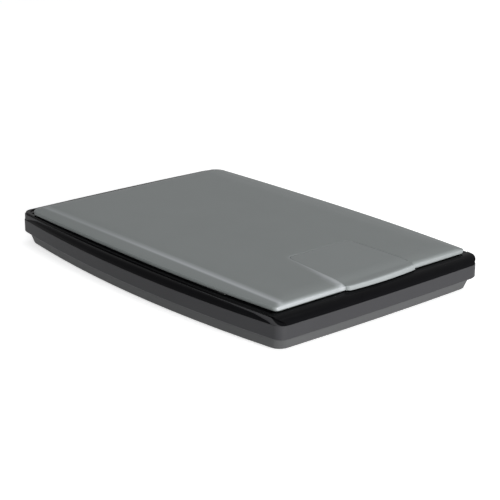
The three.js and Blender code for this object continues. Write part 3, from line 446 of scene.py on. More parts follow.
def mesh_piece(name, points, faces, sharp=32):
    """An object made of points, in metres, and of faces that count them."""
    mesh = bpy.data.meshes.new(name)
    mesh.from_pydata(np.asarray(points, float).tolist(), [], faces)
    mesh.validate()
    return smooth_object(mesh, sharp)


def round_edges(piece, radius):
    """A Bevel modifier rounds every edge that turns by more than 38 degrees to a radius."""
    bevel = piece.modifiers.new("edge_radius", "BEVEL")
    bevel.width, bevel.segments, bevel.limit_method = radius * MM, 2, "ANGLE"
    bevel.angle_limit, bevel.use_clamp_overlap = math.radians(38), True


def quads_between(near, far):
    """Quads from closed loops of point numbers to the loops beside them."""
    return np.stack([near, np.roll(near, -1, 1), np.roll(far, -1, 1), far], -1).reshape(-1, 4).tolist()


def fan(hub, first, second):
    """Triangles from one point to pairs of others."""
    return np.stack([np.full(len(first), hub), first, second], -1).tolist()


def grid_mesh(name, rows, sharp=32):
    """Points in rows and columns become quads between neighbours. The last column joins the first,
    and the first and last rows are closed by a fan from their middle."""
    rows = np.asarray(rows, float)
    count, width = rows.shape[:2]
    loops = np.arange(count * width).reshape(count, width)
    faces = quads_between(loops[:-1], loops[1:]) + fan(count * width, np.roll(loops[0], -1), loops[0])
    faces += fan(count * width + 1, loops[-1], np.roll(loops[-1], -1))
    points = np.concatenate([rows.reshape(-1, 3), rows[:1].mean(1), rows[-1:].mean(1)])
    return mesh_piece(name, points * MM, faces, sharp)


def rim_of(field):
    """The border of a filled field as one closed loop, counter-clockwise seen from above."""
    return np.concatenate([field[0, :-1], field[:-1, -1], field[-1, :0:-1], field[:0:-1, 0]])


def pillow(name, field, rows, sharp=32):
    """A filled field of points on top, rows of points that carry on down and round from its rim, and
    a fan that closes the last row. The field's rim is the first row, so the two share their points."""
    high, wide = field.shape[:2]
    index = np.arange(high * wide).reshape(high, wide)
    quads = np.stack([index[:-1, :-1], index[:-1, 1:], index[1:, 1:], index[1:, :-1]], -1).reshape(-1, 4)
    first = rim_of(index)
    width = len(first)
    lower = high * wide + np.arange((len(rows) - 1) * width).reshape(-1, width)
    loops = np.concatenate([first[None], lower])
    points = np.concatenate([field.reshape(-1, 3), rows[1:].reshape(-1, 3), rows[-1].mean(0, keepdims=True)])
    faces = quads.tolist() + quads_between(loops[1:], loops[:-1])
    faces += fan(len(points) - 1, np.roll(loops[-1], -1), loops[-1])
    return mesh_piece(name, points * MM, faces, sharp), points


# %% Outlines and rounded rows
CORNER_STEPS = 8


def stretch(start, *legs):
    """Places along a line. Each leg is where it ends and about how long its steps are."""
    places = [np.array([float(start)])]
    for end, step in legs:
        count = max(1, round(abs(end - places[-1][-1]) / step))
        places.append(np.linspace(places[-1][-1], end, count + 1)[1:])
    return np.concatenate(places)


def plan(half_x, front, rear, bow, corner, across, along):
    """A rectangle with round corners, filled with rows. Across gives each column's share of the half
    width, along each row's share of the straight half length. A row's half width is the full one along
    the sides and follows a quarter circle within the corners. Then each side is pushed out by its bow
    times one less the square of the share of the way from its middle to its end."""
    middle, half_y = (front + rear) / 2, (rear - front) / 2
    turn = np.linspace(0, np.pi / 2, CORNER_STEPS + 1)[1:]
    rise, drop = half_y - corner + corner * np.sin(turn), half_x - corner + corner * np.cos(turn)
    up = np.concatenate([-rise[::-1], along * (half_y - corner), rise])
    reach = np.concatenate([drop[::-1], np.full(len(along), half_x), drop])
    across = np.broadcast_to(across, (len(up), np.shape(across)[-1]))
    x = across * reach[:, None]
    y = np.broadcast_to(up[:, None], x.shape)
    return np.stack([x * (1 + bow / half_x * (1 - (y / half_y) ** 2)), middle + y], -1)


def at_height(places, z):
    """Plan places lifted to a height, or to one height for each place."""
    return np.concatenate([places, np.broadcast_to(np.asarray(z, float), places.shape[:-1])[..., None]], -1)


def soft_corner(a, b, c, steps):
    """Rows from a to c that round off the corner at b: a quadratic curve, where the weights of the
    three rows are (1-v) squared, 2v(1-v) and v squared."""
    v = np.linspace(0, 1, steps + 1)[:, None, None]
    return (1 - v) ** 2 * a + 2 * v * (1 - v) * b + v ** 2 * c


def toward(a, b, length):
    """Points that lie a given length from a on the way to b."""
    way = b - a
    return a + way * (length / np.linalg.norm(way, axis=-1, keepdims=True))


def eased(share):
    """A step that starts and ends softly: three times the square less twice the cube."""
    share = np.clip(share, 0, 1)
    return share * share * (3 - 2 * share)


print("places on a leg:", stretch(0, (10, 2)))

# %% [markdown]
# ## The cover
# The cover is one moulding in satin silver. Its top is straight-sided and almost flat, and its flanks
# slope down to lower edges that bow outward with the case. The lift tab is let into its front, in a
# pocket whose left side slants. The columns of the cover's grid follow that slant, and they are close
# together there, so that the pocket's step is crisp.

# %% Shared lines of cover and tab
LID_LOW, LID_TOE, LID_EDGE, LID_SHOULDER, LID_TOP = 33.2, 34.2, 36.6, 38.4, 39.5
SHOULDER_HALF, SHOULDER_FRONT, SHOULDER_REAR = 106, -173, 169
TAB_LEFT, TAB_RIGHT, TAB_REAR, TAB_CORNER, TAB_SEAT, TAB_DIP = -28.3, 46.0, -96.0, 7.0, 36.85, 0.9


def tab_left(y):
    """The tab's left side: straight behind its rear corner, and slanted by one in ten before it."""
    return TAB_LEFT - 0.1 * np.clip(-102 - y, 0, 83)


def tab_depth(x, y):
    """How far a place lies inside the tab's outline, less than nought outside: the distance to the
    nearest side, or to the quarter circle at a rear corner."""
    side = np.minimum((x - tab_left(y)) * 0.995, TAB_RIGHT - x)
    rear = TAB_REAR - y
    arc = TAB_CORNER - np.hypot(np.maximum(TAB_CORNER - side, 0), np.maximum(TAB_CORNER - rear, 0))
    return np.where((side < TAB_CORNER) & (rear < TAB_CORNER), arc, np.minimum(side, rear))


def dish(x, y):
    """How far the tab's top lies below the cover's: most at its front left, nothing at its right."""
    from_right = np.clip((TAB_RIGHT - x) / (TAB_RIGHT - tab_left(y)), 0, 1)
    return TAB_DIP * from_right ** 1.5 * (0.3 + 0.7 * np.clip((TAB_REAR - y) / 70, 0, 1))


def crown_height(x, y):
    """Height of the nearly flat top: it climbs by the crown over the first sixteen millimetres in from
    the shoulder, as one less the square of what is left of that stretch."""
    inward = np.minimum(SHOULDER_HALF - np.abs(x), np.minimum(y - SHOULDER_FRONT, SHOULDER_REAR - y))
    left = 1 - np.clip(inward / 16, 0, 1)
    low = LID_SHOULDER - 0.12
    return low + (LID_TOP - low) * (1 - left ** 2)


def settle(points):
    """Cover points round the tab: the edge of the pocket rolls down over 5.5 millimetres by part of the
    tab's drop, and inside the outline every point sinks to the tab's seat."""
    x, y, z = np.moveaxis(points, -1, 0)
    depth = tab_depth(x, y)
    roll = 0.55 * dish(x, y) * (1 - np.clip(-depth / 5.5, 0, 1)) ** 2 * np.clip((z - LID_EDGE) / 1.2, 0, 1)
    sunk = np.maximum(z - TAB_SEAT, 0) * eased(depth / 0.35 + 0.5)
    return np.stack([x, y, z - np.maximum(roll * (depth < 1), sunk)], -1)


# The steps are finest at the tab's sides and rear, and at the sides of the hinge gaps.
columns = stretch(-SHOULDER_HALF, (-87.7, 4.5), (-87.1, 0.6), (-70.3, 4.5), (-69.7, 0.6), (-32.3, 4.5),
                  (-29, 0.8), (-27.6, 0.28), (-14.3, 1.1), (32, 4.5), (45.3, 1.1), (46.7, 0.28), (50, 0.8),
                  (69.7, 4.5), (70.3, 0.6), (87.1, 4.5), (87.7, 0.6), (SHOULDER_HALF, 4.5))
lines = stretch(-168, (-110, 3.8), (-97, 1.1), (-95.4, 0.28), (-91, 0.9), (164, 4.2))
ROW_Y = np.concatenate([np.full(CORNER_STEPS, -172.0), lines, np.full(CORNER_STEPS, 168.0)])
follows = np.interp(columns, [-SHOULDER_HALF, -32.3, -14.3, 32], [0, 1, 1, 0])
slide = (tab_left(ROW_Y) - TAB_LEFT)[:, None] * follows[None, :]
ACROSS = (columns[None, :] + slide) / SHOULDER_HALF
ALONG = (lines + 2) / 166
print("cover grid", ACROSS.shape)

# %% [markdown]
# The shell is the filled top and then rims at one height each: down the flank, round the lower edge and
# up inside. Short curves between them give the moulding its soft edges.


# %% Cover shell
def cover_ring(half_x, front, rear, bow, corner, z, flare=0.0):
    """A rim of the cover at one height. It widens by the flare, as the square of the share of the way
    back, and draws in again over its last eight millimetres."""
    ring = at_height(rim_of(plan(half_x, front, rear, bow, corner, ACROSS, ALONG)), z)
    share = np.clip(ring[:, 1] / rear, 0, 1)
    ring[:, 0] *= 1 + flare / half_x * share ** 2 * (1 - eased((ring[:, 1] - rear + 8) / 8))
    return ring


HINGE_X, PIN_Y, PIN_Z, GAP_HALF = 75, 170.6, 34.8, 8.3
CREST_END, WALL, INSIDE = 8, slice(9, 22), 22  # rings, counted from the top's rim


def hinge_gaps(rings, shoulder):
    """Two gaps in the rear wall for the hinge posts. Along the rear the rings line up with the
    shoulder's columns. In a gap they run forward under the top instead of down the wall."""
    rear_row = np.zeros(ACROSS.shape, bool)
    rear_row[-1] = True
    behind, near = rim_of(rear_row), shoulder[:, 0]
    lined_up = near + (rings[CREST_END:, :, 0] - near) * eased((np.abs(near) - 90) / 14)
    rings[CREST_END:, :, 0] = np.where(behind, lined_up, rings[CREST_END:, :, 0])
    gap = behind & (np.abs(np.abs(near) - HINGE_X) < GAP_HALF)
    rings[WALL, gap, 1] = np.linspace(170.6, 167.2, 13)[:, None]
    rings[WALL, gap, 2] = 37.7
    rings[INSIDE, gap, 1:] = (167.0, 37.0)
    return rings


# Each rim has its half width, front, rear, bow, corner radius, height and flare.
top_plan = plan(103.8, -170.8, 166.8, 0, 4, ACROSS, ALONG)
top = at_height(top_plan, crown_height(top_plan[..., 0], top_plan[..., 1]))
shoulder = cover_ring(SHOULDER_HALF, SHOULDER_FRONT, SHOULDER_REAR, 0, 5, LID_SHOULDER, 1.2)
edge_high, edge_low = (cover_ring(112.4, -176, 174, 8, 4, z, flare)
                       for z, flare in ((LID_EDGE, 4.4), (LID_TOE, 5.0)))
foot = cover_ring(111.8, -175.4, 173.4, 8, 4, LID_LOW, 5.0)
inner_low, inner_high = (cover_ring(106, -173.8, 170.4, 6, 4, z) for z in (LID_LOW, LID_LOW + 2.3))
inner_roof = cover_ring(103.8, -170.8, 166.8, 0, 5, LID_TOP - 3.2)
rings = np.concatenate([
    soft_corner(rim_of(top), shoulder, toward(shoulder, edge_high, 2.0), 8),
    soft_corner(toward(edge_high, shoulder, 1.1), edge_high, toward(edge_high, edge_low, 0.7), 5),
    soft_corner(toward(edge_low, edge_high, 0.5), edge_low, toward(edge_low, foot, 0.4), 4),
    [foot, inner_low, inner_high, inner_roof]])
cover_shell, cover_points = pillow("cover_shell", settle(top), settle(hinge_gaps(rings, shoulder)))
stand_for(cover_shell, "cover", "silver_cover", "lid_shell")
print("cover shell", len(cover_shell.data.polygons), "faces")

# %% [markdown]
# A highlight is painted on the soft crests, where light catches them: along the left shoulder between top
# and flank, along the pocket's left lip and along the front edge. Each point stores how near it is to one,
# as the bell curve of its distance.


# %% Painted highlights on the cover's crests
def store_painted_highlight(piece, values):
    """Writes the share of painted highlight, one number for each point, as a point attribute."""
    data = piece.data.attributes.new("painted_highlight", "FLOAT", "POINT")
    data.data.foreach_set("value", np.asarray(values, np.float32))


def bell(distance, width):
    """One at no distance, and little beyond the width: e to the power of less the ratio squared."""
    return np.exp(-(distance / width) ** 2)


def cover_painted_highlight(points):
    """The painted highlight, the greatest of three bells: the left shoulder's, broader towards the top, the
    lip's, which grows with its dish, and the front edge's, which fades towards the right."""
    x, y, z = np.moveaxis(points, -1, 0)
    inward = x + 105.4
    side = np.where(inward > 0, bell(inward, 3.2), bell(inward, 1.6)) * np.clip((y + 176) / 4, 0, 1)
    side = side * (0.45 + 0.55 * eased((120 - y) / 200)) * (z > 36)
    depth = tab_depth(x, y)
    lowered = np.clip(dish(x, y) / 0.8, 0, 1) ** 2
    reach = 1.4 + 2.0 * lowered ** 3
    lip = bell(depth + reach, reach) * (depth < 0.2) * lowered * (x < 20)
    front = (0.57 - 0.28 * x / 100) * bell(y + 175.8, 1.0) * (z > 34)
    return np.maximum(np.maximum(side, lip), front)


# the cover's painted highlight is stored on its points
store_painted_highlight(cover_shell, cover_painted_highlight(cover_points))
print("crest stored on", len(cover_points), "points")

# %% [markdown]
# ## The lift tab
# A plate is let into the pocket to lift the cover by. It dips towards its front left corner, and ends
# in a nose that bows forward and hangs over the cover's edge. Its top and nose are one field of
# points, and its skirts and underside are rows that carry on from the field's rim.


# %% Lift tab
def smooth_line(points, rounds=2):
    """Cuts each corner of an open line at a quarter and three quarters of its pieces, and again."""
    for _ in range(rounds):
        a, b = points[:-1], points[1:]
        cut = np.stack([0.75 * a + 0.25 * b, 0.25 * a + 0.75 * b], 1).reshape(-1, points.shape[1])
        points = np.concatenate([points[:1], cut[1:-1], points[-1:]])
    return points


NOSE = [(4.3, 32.9), (0.9, 32.8), (0.0, 33.9), (0.3, 36.9), (1.3, 38.0), (4.6, 38.35)]
NOSE_FRONT, NOSE_MIDDLE, NOSE_HALF, NOSE_BOW = -180.9, 2.5, 47.5, 3.0
NOSE_ROUNDS = (4.6, 1.2)  # radii at the left and the right end
COVER_EDGE = -176.15


def nose_bow(x):
    """How far the nose's front lies behind its foremost point, by the square of the share from it."""
    return NOSE_BOW * ((x - NOSE_MIDDLE) / NOSE_HALF) ** 2


def tab_field(grow):
    """Rows across the tab from under its nose to its rear. The nose's rows follow a smoothed line of
    steps back from its front and heights. The front bows, and rounds off at both ends. The rear corners
    are quarter circles."""
    share = stretch(0, (0.04, 0.008), (0.96, 0.03), (1, 0.008))[None, :]
    line = smooth_line(np.array(NOSE))[:-1]
    count = len(line)
    rear, corner = TAB_REAR - 0.5 * grow, TAB_CORNER - grow
    turn = np.linspace(0, np.pi / 2, 11)[1:]
    straight = stretch(-175.9, (-172, 1.0), (-104.2, 3.4))
    plate = np.concatenate([straight, rear - corner + corner * np.sin(turn)])
    inset = np.concatenate([np.zeros(count + len(straight)), corner - corner * np.cos(turn)])
    row_y = np.concatenate([np.full(count, -177.5), plate])
    left, right = tab_left(row_y) + grow + inset, TAB_RIGHT - 0.25 * grow - inset
    x = left[:, None] + (right - left)[:, None] * share
    corner_back = sum(r - np.sqrt(r * r - np.clip(r - along * 84, 0, r) ** 2)
                      for r, along in zip(NOSE_ROUNDS, (share, 1 - share)))
    front = NOSE_FRONT + nose_bow(x) + corner_back
    nose_y = np.minimum(front[:count] + line[:, :1], COVER_EDGE + 3.2 * (line[:, 1:] > 37.5))
    y = np.concatenate([nose_y, np.maximum(plate[:, None], front[count:] + 4.6)])
    top_z = np.minimum(crown_height(x, y - 1.2) + 0.05, LID_TOP)
    level = np.concatenate([np.broadcast_to(line[:, 1:], nose_y.shape), top_z[count:]])
    level = level - dish(x, y) * np.clip((level - 36.9) / 1.3, 0, 1)
    return np.stack([x, y, level], -1)


TAB_UNDER = 37.0
tab_top, outer = tab_field(0.62), rim_of(tab_field(0.3))
spine_z = np.where(outer[:, 1] > -176.2, TAB_UNDER, np.clip(outer[:, 2] - 1.3, 33.5, TAB_UNDER))
spine = np.stack([outer[:, 0], np.maximum(outer[:, 1], COVER_EDGE), spine_z], -1)
under = np.stack([spine[:, 0] + 0.004 * (2.0 - spine[:, 0]), spine[:, 1], np.full(len(spine), TAB_UNDER)], -1)
skirt = soft_corner(rim_of(tab_top), toward(outer, spine, 0.04), toward(outer, spine, 0.45), 4)
tab_piece, tab_points = pillow("cover_tab", tab_top, np.concatenate([skirt, [spine, under]]), 40)
stand_for(tab_piece, "cover", "silver_cover", "lift_tab")
# a painted highlight along the nose's crest, over a faint even share of it on the whole tab
from_crest = tab_points[:, 1] + 180.2 - nose_bow(tab_points[:, 0])
store_painted_highlight(tab_piece, 0.05 + 0.38 * bell(from_crest, 1.3) * (tab_points[:, 2] < 38.2))
print("lift tab", len(tab_piece.data.polygons), "faces")

# %% [markdown]
# ## Gloss strips
# A polished black strip runs along the front edge, a quarter round in section. It is a profile carried
# along the case, so it is one grid, and its ends follow the case's round corners.

# %% Front strip
BAND_TOP, RIM_TOP, CASE_CORNER = 25.1, 32.4, 8.0
END_HALF, HALF_LENGTH = 118, 188  # half the case's width at its ends, and half its length
WALL_BOW, BAND_BOW, FRONT_BOW = 8, 13, 1.8
STRIP_LOW, STRIP_RISE = BAND_TOP + 0.3, RIM_TOP - BAND_TOP - 0.3
STRIP_DEPTH, STRIP_BACK, STEP_RISE = 12, 14.7, 5.5


def wall_half(y):
    """Half the width of the case above the band, at a distance along it, less a small setback."""
    return END_HALF - 0.2 + WALL_BOW * (1 - (y / HALF_LENGTH) ** 2)


def strip_profile(steps=14):
    """The strip's section as a loop of distance back from the front edge and height: a quarter
    ellipse from the band's top to the rim, then down its back and along the S-shaped step."""
    turn = np.linspace(0, np.pi / 2, steps)
    share = np.linspace(1, 0, steps)
    over = np.stack([STRIP_DEPTH * (1 - np.cos(turn)), STRIP_LOW + STRIP_RISE * np.sin(turn)], -1)
    under = np.stack([1.5 + 10.5 * share, STRIP_LOW + STEP_RISE * (1 - np.cos(np.pi * share)) / 2], -1)
    return np.concatenate([over, [[STRIP_BACK, RIM_TOP], [STRIP_BACK, BAND_TOP + 5.8]], under])


profile = strip_profile()
share = np.linspace(-1, 1, 65)[:, None]
y = -HALF_LENGTH + profile[None, :, 0] - FRONT_BOW * (1 - share ** 2)
cut = np.clip(CASE_CORNER - (y + HALF_LENGTH), 0, CASE_CORNER - 0.2)
corner_inset = CASE_CORNER - np.sqrt(CASE_CORNER ** 2 - cut ** 2)
x = share * (wall_half(np.clip(y, -HALF_LENGTH, HALF_LENGTH)) - corner_inset)
front_strip = grid_mesh("front_strip", np.stack([x, y, np.broadcast_to(profile[None, :, 1], x.shape)], -1))
stand_for(front_strip, "base", "gloss_black", "front_fascia")
print("front strip", len(front_strip.data.polygons), "faces")

# %% [markdown]
# A lens-shaped strip fills the ledge on each side. It is made of sections too, which shrink to its tips.


# %% Side strips
def lens_strip(side, steps=97):
    """Sections along the side. The band swells 13 and the wall above only 8, and the strip fills the
    ledge between them, so its width goes as one less the square of the share along. Its height falls
    off with the 0.35th power of the same and runs out at each tip as a square root, and its outer face
    is a round from the edge up to the wall."""
    share = 0.94 * np.sin(np.linspace(-np.pi / 2, np.pi / 2, steps))[:, None]
    fall = 1 - share ** 2
    tip = np.sqrt(np.clip((0.942 - np.abs(share)) / 0.1, 0, 1))
    outer, inner = END_HALF + BAND_BOW * fall, END_HALF + WALL_BOW * fall + 0.1
    turn = np.linspace(0, np.pi / 2, 9)[None, :]
    across = np.concatenate([inner, inner + (outer - inner) * np.cos(turn)], 1)
    height = 5.9 * tip * fall ** 0.35
    up = np.concatenate([np.full_like(inner, STRIP_LOW), STRIP_LOW + height * np.sin(turn)], 1)
    points = np.stack([side * across, np.broadcast_to(share * HALF_LENGTH, across.shape), up], -1)
    return points if side > 0 else points[::-1]


ENDS, SIDES = (("front", -1), ("rear", 1)), (("left", -1), ("right", 1))
for name, side in SIDES:
    strip = grid_mesh(f"side_strip_{name}", lens_strip(side))
    stand_for(strip, "base", "gloss_black", f"side_trim_{name}")
print("side strips", len(strip.data.polygons), "faces each")

# %% [markdown]
# ## Rounded copies
# Many parts have the right shape already and want only the small radius that every moulded or machined
# edge has. Their meshes are loose triangles, so a copy is welded, its flat faces are merged, and a Bevel
# modifier rounds the edges. The two middle planes cut the copy first, and the merge stops at these cuts,
# so that no face has to run right round an opening. A Weighted Normal modifier then lets the large faces
# shade flat. The part itself stays untouched.


# %% Rounded copies of frame parts
WELD, FLAT_ANGLE, SHARP_ANGLE = 0.002 * MM, math.radians(0.4), 40


def rounded(node, radius, slot, finish_name=None):
    """A welded copy of a frame part with rounded edges, whose large faces shade flat."""
    source = frame["nodes"][node]
    shape = bmesh.new()
    shape.from_mesh(source.data)
    bmesh.ops.remove_doubles(shape, verts=shape.verts, dist=WELD)
    for across in ((1, 0, 0), (0, 1, 0)):
        whole = shape.verts[:] + shape.edges[:] + shape.faces[:]
        cut = bmesh.ops.bisect_plane(shape, geom=whole, dist=1e-7, plane_co=(0, 0, 0), plane_no=across)
        for edge in cut["geom_cut"]:
            if isinstance(edge, bmesh.types.BMEdge):
                edge.seam = True
    bmesh.ops.dissolve_limit(shape, angle_limit=FLAT_ANGLE, verts=shape.verts, edges=shape.edges,
                             delimit={"SEAM"})
    mesh = bpy.data.meshes.new(f"{node}_soft")
    shape.to_mesh(mesh)
    shape.free()
    copy = smooth_object(mesh, SHARP_ANGLE)
    round_edges(copy, radius)
    shading = copy.modifiers.new("flat_faces", "WEIGHTED_NORMAL")
    shading.weight, shading.keep_sharp = 100, True
    stand_for(copy, body_of(source)[0], slot, node, finish_name=finish_name)


# The slot of each group of parts, and each part's edge radius
ROUNDED = {
    "case_plastic": {"upper_case": 0.5, "hinge_post_left": 0.3, "hinge_post_right": 0.3, "lid_liner": 0.3},
    "tray_plastic": {"lower_case": 0.6},
    "gloss_black": {"top_frame": 0.45, "lens_row": 0.2},
    "platen_glass": {"platen_glass": 0.35},
    "white_film": {"calibration_strip": 0.1, "light_guide": 0.4},
    "inner_black": {"rod_clamp_front": 0.5, "rod_clamp_rear": 0.5, "drive_rack": 0.12, "lock_slider": 0.3,
                    "carriage_frame": 0.25, "sensor_housing": 0.3},
    "circuit_board": {"main_board": 0.15, "sensor_board": 0.12},
    "gear_plastic": {"drive_gear": 0.14, "glide_pad_left": 0.3, "glide_pad_right": 0.3},
    "pinion_brass": {"motor_pinion": 0.12},
    "plated_steel": {"usb_socket": 0.25},
    "ruler_film": {"ruler_front": 0.06},
}
for slot, parts in ROUNDED.items():
    for node, radius in parts.items():
        rounded(node, radius, slot)
rounded("ruler_side", 0.06, "ruler_film", "ruler_side_film")
print("rounded", sum(map(len, ROUNDED.values())) + 1, "parts")

# %% [markdown]
# ## Turned parts
# Feet, pins, the rod and the bumpers are turned: a profile of radii and places along an axis, spun into
# rings. The same rings take any axis, because X, Y and Z swap round in order.


# %% A profile spun about an axis
def spun(profile, centre, axis, steps):
    """Rings of points. A profile is pairs of radius and place along the axis, and a ring's points are
    the radius times the cosine and sine of an even turn."""
    profile = np.asarray(profile, float)
    angle = np.linspace(0, 2 * np.pi, steps, endpoint=False)[None, :]
    radius, along = profile[:, :1], np.broadcast_to(profile[:, 1:], (len(profile), steps))
    rings = np.stack([radius * np.cos(angle), radius * np.sin(angle), along], -1)
    return np.roll(rings, {"Z": 0, "X": 1, "Y": 2}[axis], -1) + np.asarray(centre, float)


def turned(name, profile, centre, axis, body, slot, *nodes, steps=40):
    """A spun piece that moves with a body and takes the place of the frame parts that are named."""
    stand_for(grid_mesh(name, spun(profile, centre, axis, steps), 35), body, slot, *nodes)


FOOT = [(0.6, 0.0), (3.0, 0.0), (3.2, 0.25), (3.6, 0.25), (3.8, 0.0), (5.0, 0.0), (5.5, 0.12), (5.85, 0.45),
        (6.0, 0.9), (6.0, 2.6), (5.8, 2.9), (0.6, 2.9)]
BUMPER = [(0.3, 31.9), (1.6, 31.93), (2.4, 32.1), (2.9, 32.5), (3.0, 33.0), (3.0, 33.5), (0.3, 33.5)]
PIN = [(0.55, 0.0), (0.9, 0.35), (0.9, 25.65), (0.55, 26.0)]
ROD = [(2.5, -172.8), (3.0, -172.3), (3.0, 172.3), (2.5, 172.8)]
FOOT_X, FOOT_Y, SCREW_X, SCREW_Y, BUMPER_X, BUMPER_Y, ROD_Z = 94, 162, 118, 60, 100, -159, 11.2
for end, way in ENDS:
    for name, side in SIDES:
        turned(f"rubber_foot_{end}_{name}", FOOT, (side * FOOT_X, way * FOOT_Y, 0), "Z", "base",
               "foot_rubber", f"foot_{end}_{name}")
for name, side in SIDES:
    turned(f"soft_bumper_{name}", BUMPER, (side * BUMPER_X, BUMPER_Y, 0), "Z", "cover", "foot_rubber",
           f"lid_bumper_{name}")
    turned(f"steel_pin_{name}", PIN, (side * HINGE_X - 13, PIN_Y, PIN_Z), "X", "cover", "plated_steel",
           f"hinge_pin_{name}", steps=24)
turned("steel_rod", ROD, (0, 0, ROD_Z), "Y", "base", "plated_steel", "guide_rod")
print("feet, bumpers, pins and rod turned")

# %% [markdown]
# A screw is turned too, all but its recess. That is pressed into the dome's own rings, so that recess,
# head and thread stay one closed mesh.

# %% Case screws with a cross recess
DOME = [(r, 3.1 + 0.75 * (r / 3.2) ** 2.4) for r in np.linspace(0.05, 3.1, 22)]
THREAD = [(1.5 - 0.18 * (i % 2), 5.4 + 0.45 * i) for i in range(34)]
SCREW = DOME + [(3.2, 4.05), (3.2, 4.75), (3.05, 4.9), (1.5, 4.9)] + THREAD + [(1.2, 21.4), (0.7, 21.9)]


def case_screw(end, name, x, y):
    """A pan head whose recess is a cross: where a point of the dome is near either diameter, it is
    lifted into the head by an eased depth."""
    rings = spun(SCREW, (0, 0, 0), "Z", 64)
    near = np.minimum(np.abs(rings[..., 0]), np.abs(rings[..., 1]))
    radius = np.hypot(rings[..., 0], rings[..., 1])
    recess = 0.95 * eased((0.5 - near) / 0.3) * eased((1.95 - radius) / 0.4) * (rings[..., 2] < 3.9)
    rings[..., 2] += recess
    piece = grid_mesh(f"pan_screw_{end}_{name}", rings + np.array([x, y, 0.0]), 50)
    stand_for(piece, "base", "plated_steel", f"case_screw_{end}_{name}")


for end, way in ENDS:
    for name, side in SIDES:
        case_screw(end, name, side * SCREW_X, way * SCREW_Y)
print("four screws")

# %% [markdown]
# The stepper motor shows its shaft, flange, can and end cap, and one long profile gives them all.

# %% Stepper motor
CAN = [(0.5, 44.0), (0.9, 44.4), (0.9, 53.5), (2.6, 53.6), (7.6, 53.6), (8.0, 53.9), (8.0, 54.7), (7.7, 55.0),
       (7.5, 55.1), (7.5, 60.2), (7.7, 60.3), (7.7, 60.9), (7.5, 61.0), (7.5, 66.4), (7.8, 66.6), (7.8, 67.2),
       (7.4, 67.6), (3.2, 67.6), (2.9, 67.3), (0.5, 67.3)]
MOTOR_Y, MOTOR_Z = 130.2, 12.2
turned("motor_can", CAN, (0, MOTOR_Y, MOTOR_Z), "X", "carriage", "plated_steel", "stepper_motor", steps=48)
print("motor turned")

# %% [markdown]
# ## Springs and ribbon
# The sensor rests on two short coil springs, which flatten as it is pressed down. A spring is a round
# section carried along a helix.


# %% Coil springs
SPRING_X, SPRING_Y, SPRING_LOW, SPRING_HIGH = 80, 161.1, 14.1, 16.1
COIL_RADIUS, WIRE, COIL_TURNS = 2.1, 0.3, 2.6


def coil(name, x, y):
    """A round wire along a helix. The helix climbs by an eased share, so that its ends lie flat. A
    section's points lie on a circle spanned by the upright and the way out from the axis."""
    t = np.linspace(0, 1, 150)[:, None]
    turn, around = 2 * np.pi * COIL_TURNS * t, np.linspace(0, 2 * np.pi, 12, endpoint=False)[None, :]
    reach = COIL_RADIUS + WIRE * np.sin(around)
    up = SPRING_LOW + WIRE + (SPRING_HIGH - SPRING_LOW - 2 * WIRE) * eased(t) + WIRE * np.cos(around)
    return grid_mesh(name, np.stack([x + reach * np.cos(turn), y + reach * np.sin(turn), up], -1))


for name, side in SIDES:
    spring = coil(f"coil_spring_{name}", side * SPRING_X, SPRING_Y)
    stand_for(spring, "carriage", "plated_steel", f"sensor_spring_{name}")
    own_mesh(spring)
print("springs of", len(spring.data.vertices), "points")

# %% [markdown]
# The ribbon from the board lies on the floor, turns back on itself and ends under the carriage. It is a
# flat section carried along a line of straight runs and arcs.


# %% Ribbon cable
def arc(centre, radius, start, end, steps=14):
    """Points on a circle between two angles in degrees."""
    angle = np.radians(np.linspace(start, end, steps))
    return np.stack([centre[0] + radius * np.cos(angle), centre[1] + radius * np.sin(angle)], -1)


RIBBON_LEFT, RIBBON_RIGHT, RIBBON_HALF = -30, -18, 0.15
line = np.concatenate([[(172.9, 20.8), (172.9, 12.0)], arc((170.9, 6.75), 2, 0, -90),
                       [(110.0, 4.75), (60.0, 4.75)], arc((39.2, 8.1), 3.35, -90, -270, 22),
                       [(80.0, 11.45), (161.6, 11.45)]])
way = np.gradient(line, axis=0)
way /= np.linalg.norm(way, axis=1, keepdims=True)
across = np.array([RIBBON_LEFT, RIBBON_RIGHT, RIBBON_RIGHT, RIBBON_LEFT])
thick = np.array([[-1, -1, 1, 1]]) * RIBBON_HALF
rows = np.stack([np.broadcast_to(across, (len(line), 4)), line[:, :1] + thick * way[:, 1:],
                 line[:, 1:] - thick * way[:, :1]], -1)
ribbon = grid_mesh("ribbon_cable", rows, 40)
stand_for(ribbon, "base", "flex_film", "flex_cable")
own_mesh(ribbon)
print("ribbon of", len(rows), "sections")

# %% [markdown]
# ## Document pad
# The pad that presses the paper flat is white film over a thin sheet of foam. Its edges are rolled and
# its face is crowned a little. It is made lying on its back as a pillow, then turned over.

# %% Document pad
PAD_HALF, PAD_FRONT, PAD_REAR, PAD_CORNER = 106.2, -148.2, 154.2, 3
PAD_LOW, PAD_EDGE, PAD_HIGH, PAD_CROWN = 31.9, 33.1, 33.5, 0.4
across, along = np.linspace(-1, 1, 61), np.linspace(-1, 1, 81)


def pad_plan(grow):
    """The pad's outline, filled, and grown by a distance on all sides."""
    return plan(PAD_HALF + grow, PAD_FRONT - grow, PAD_REAR + grow, 0, PAD_CORNER + grow, across, along)


def pad_ring(grow, z):
    """The rim of the grown outline at a height."""
    return at_height(rim_of(pad_plan(grow)), z)


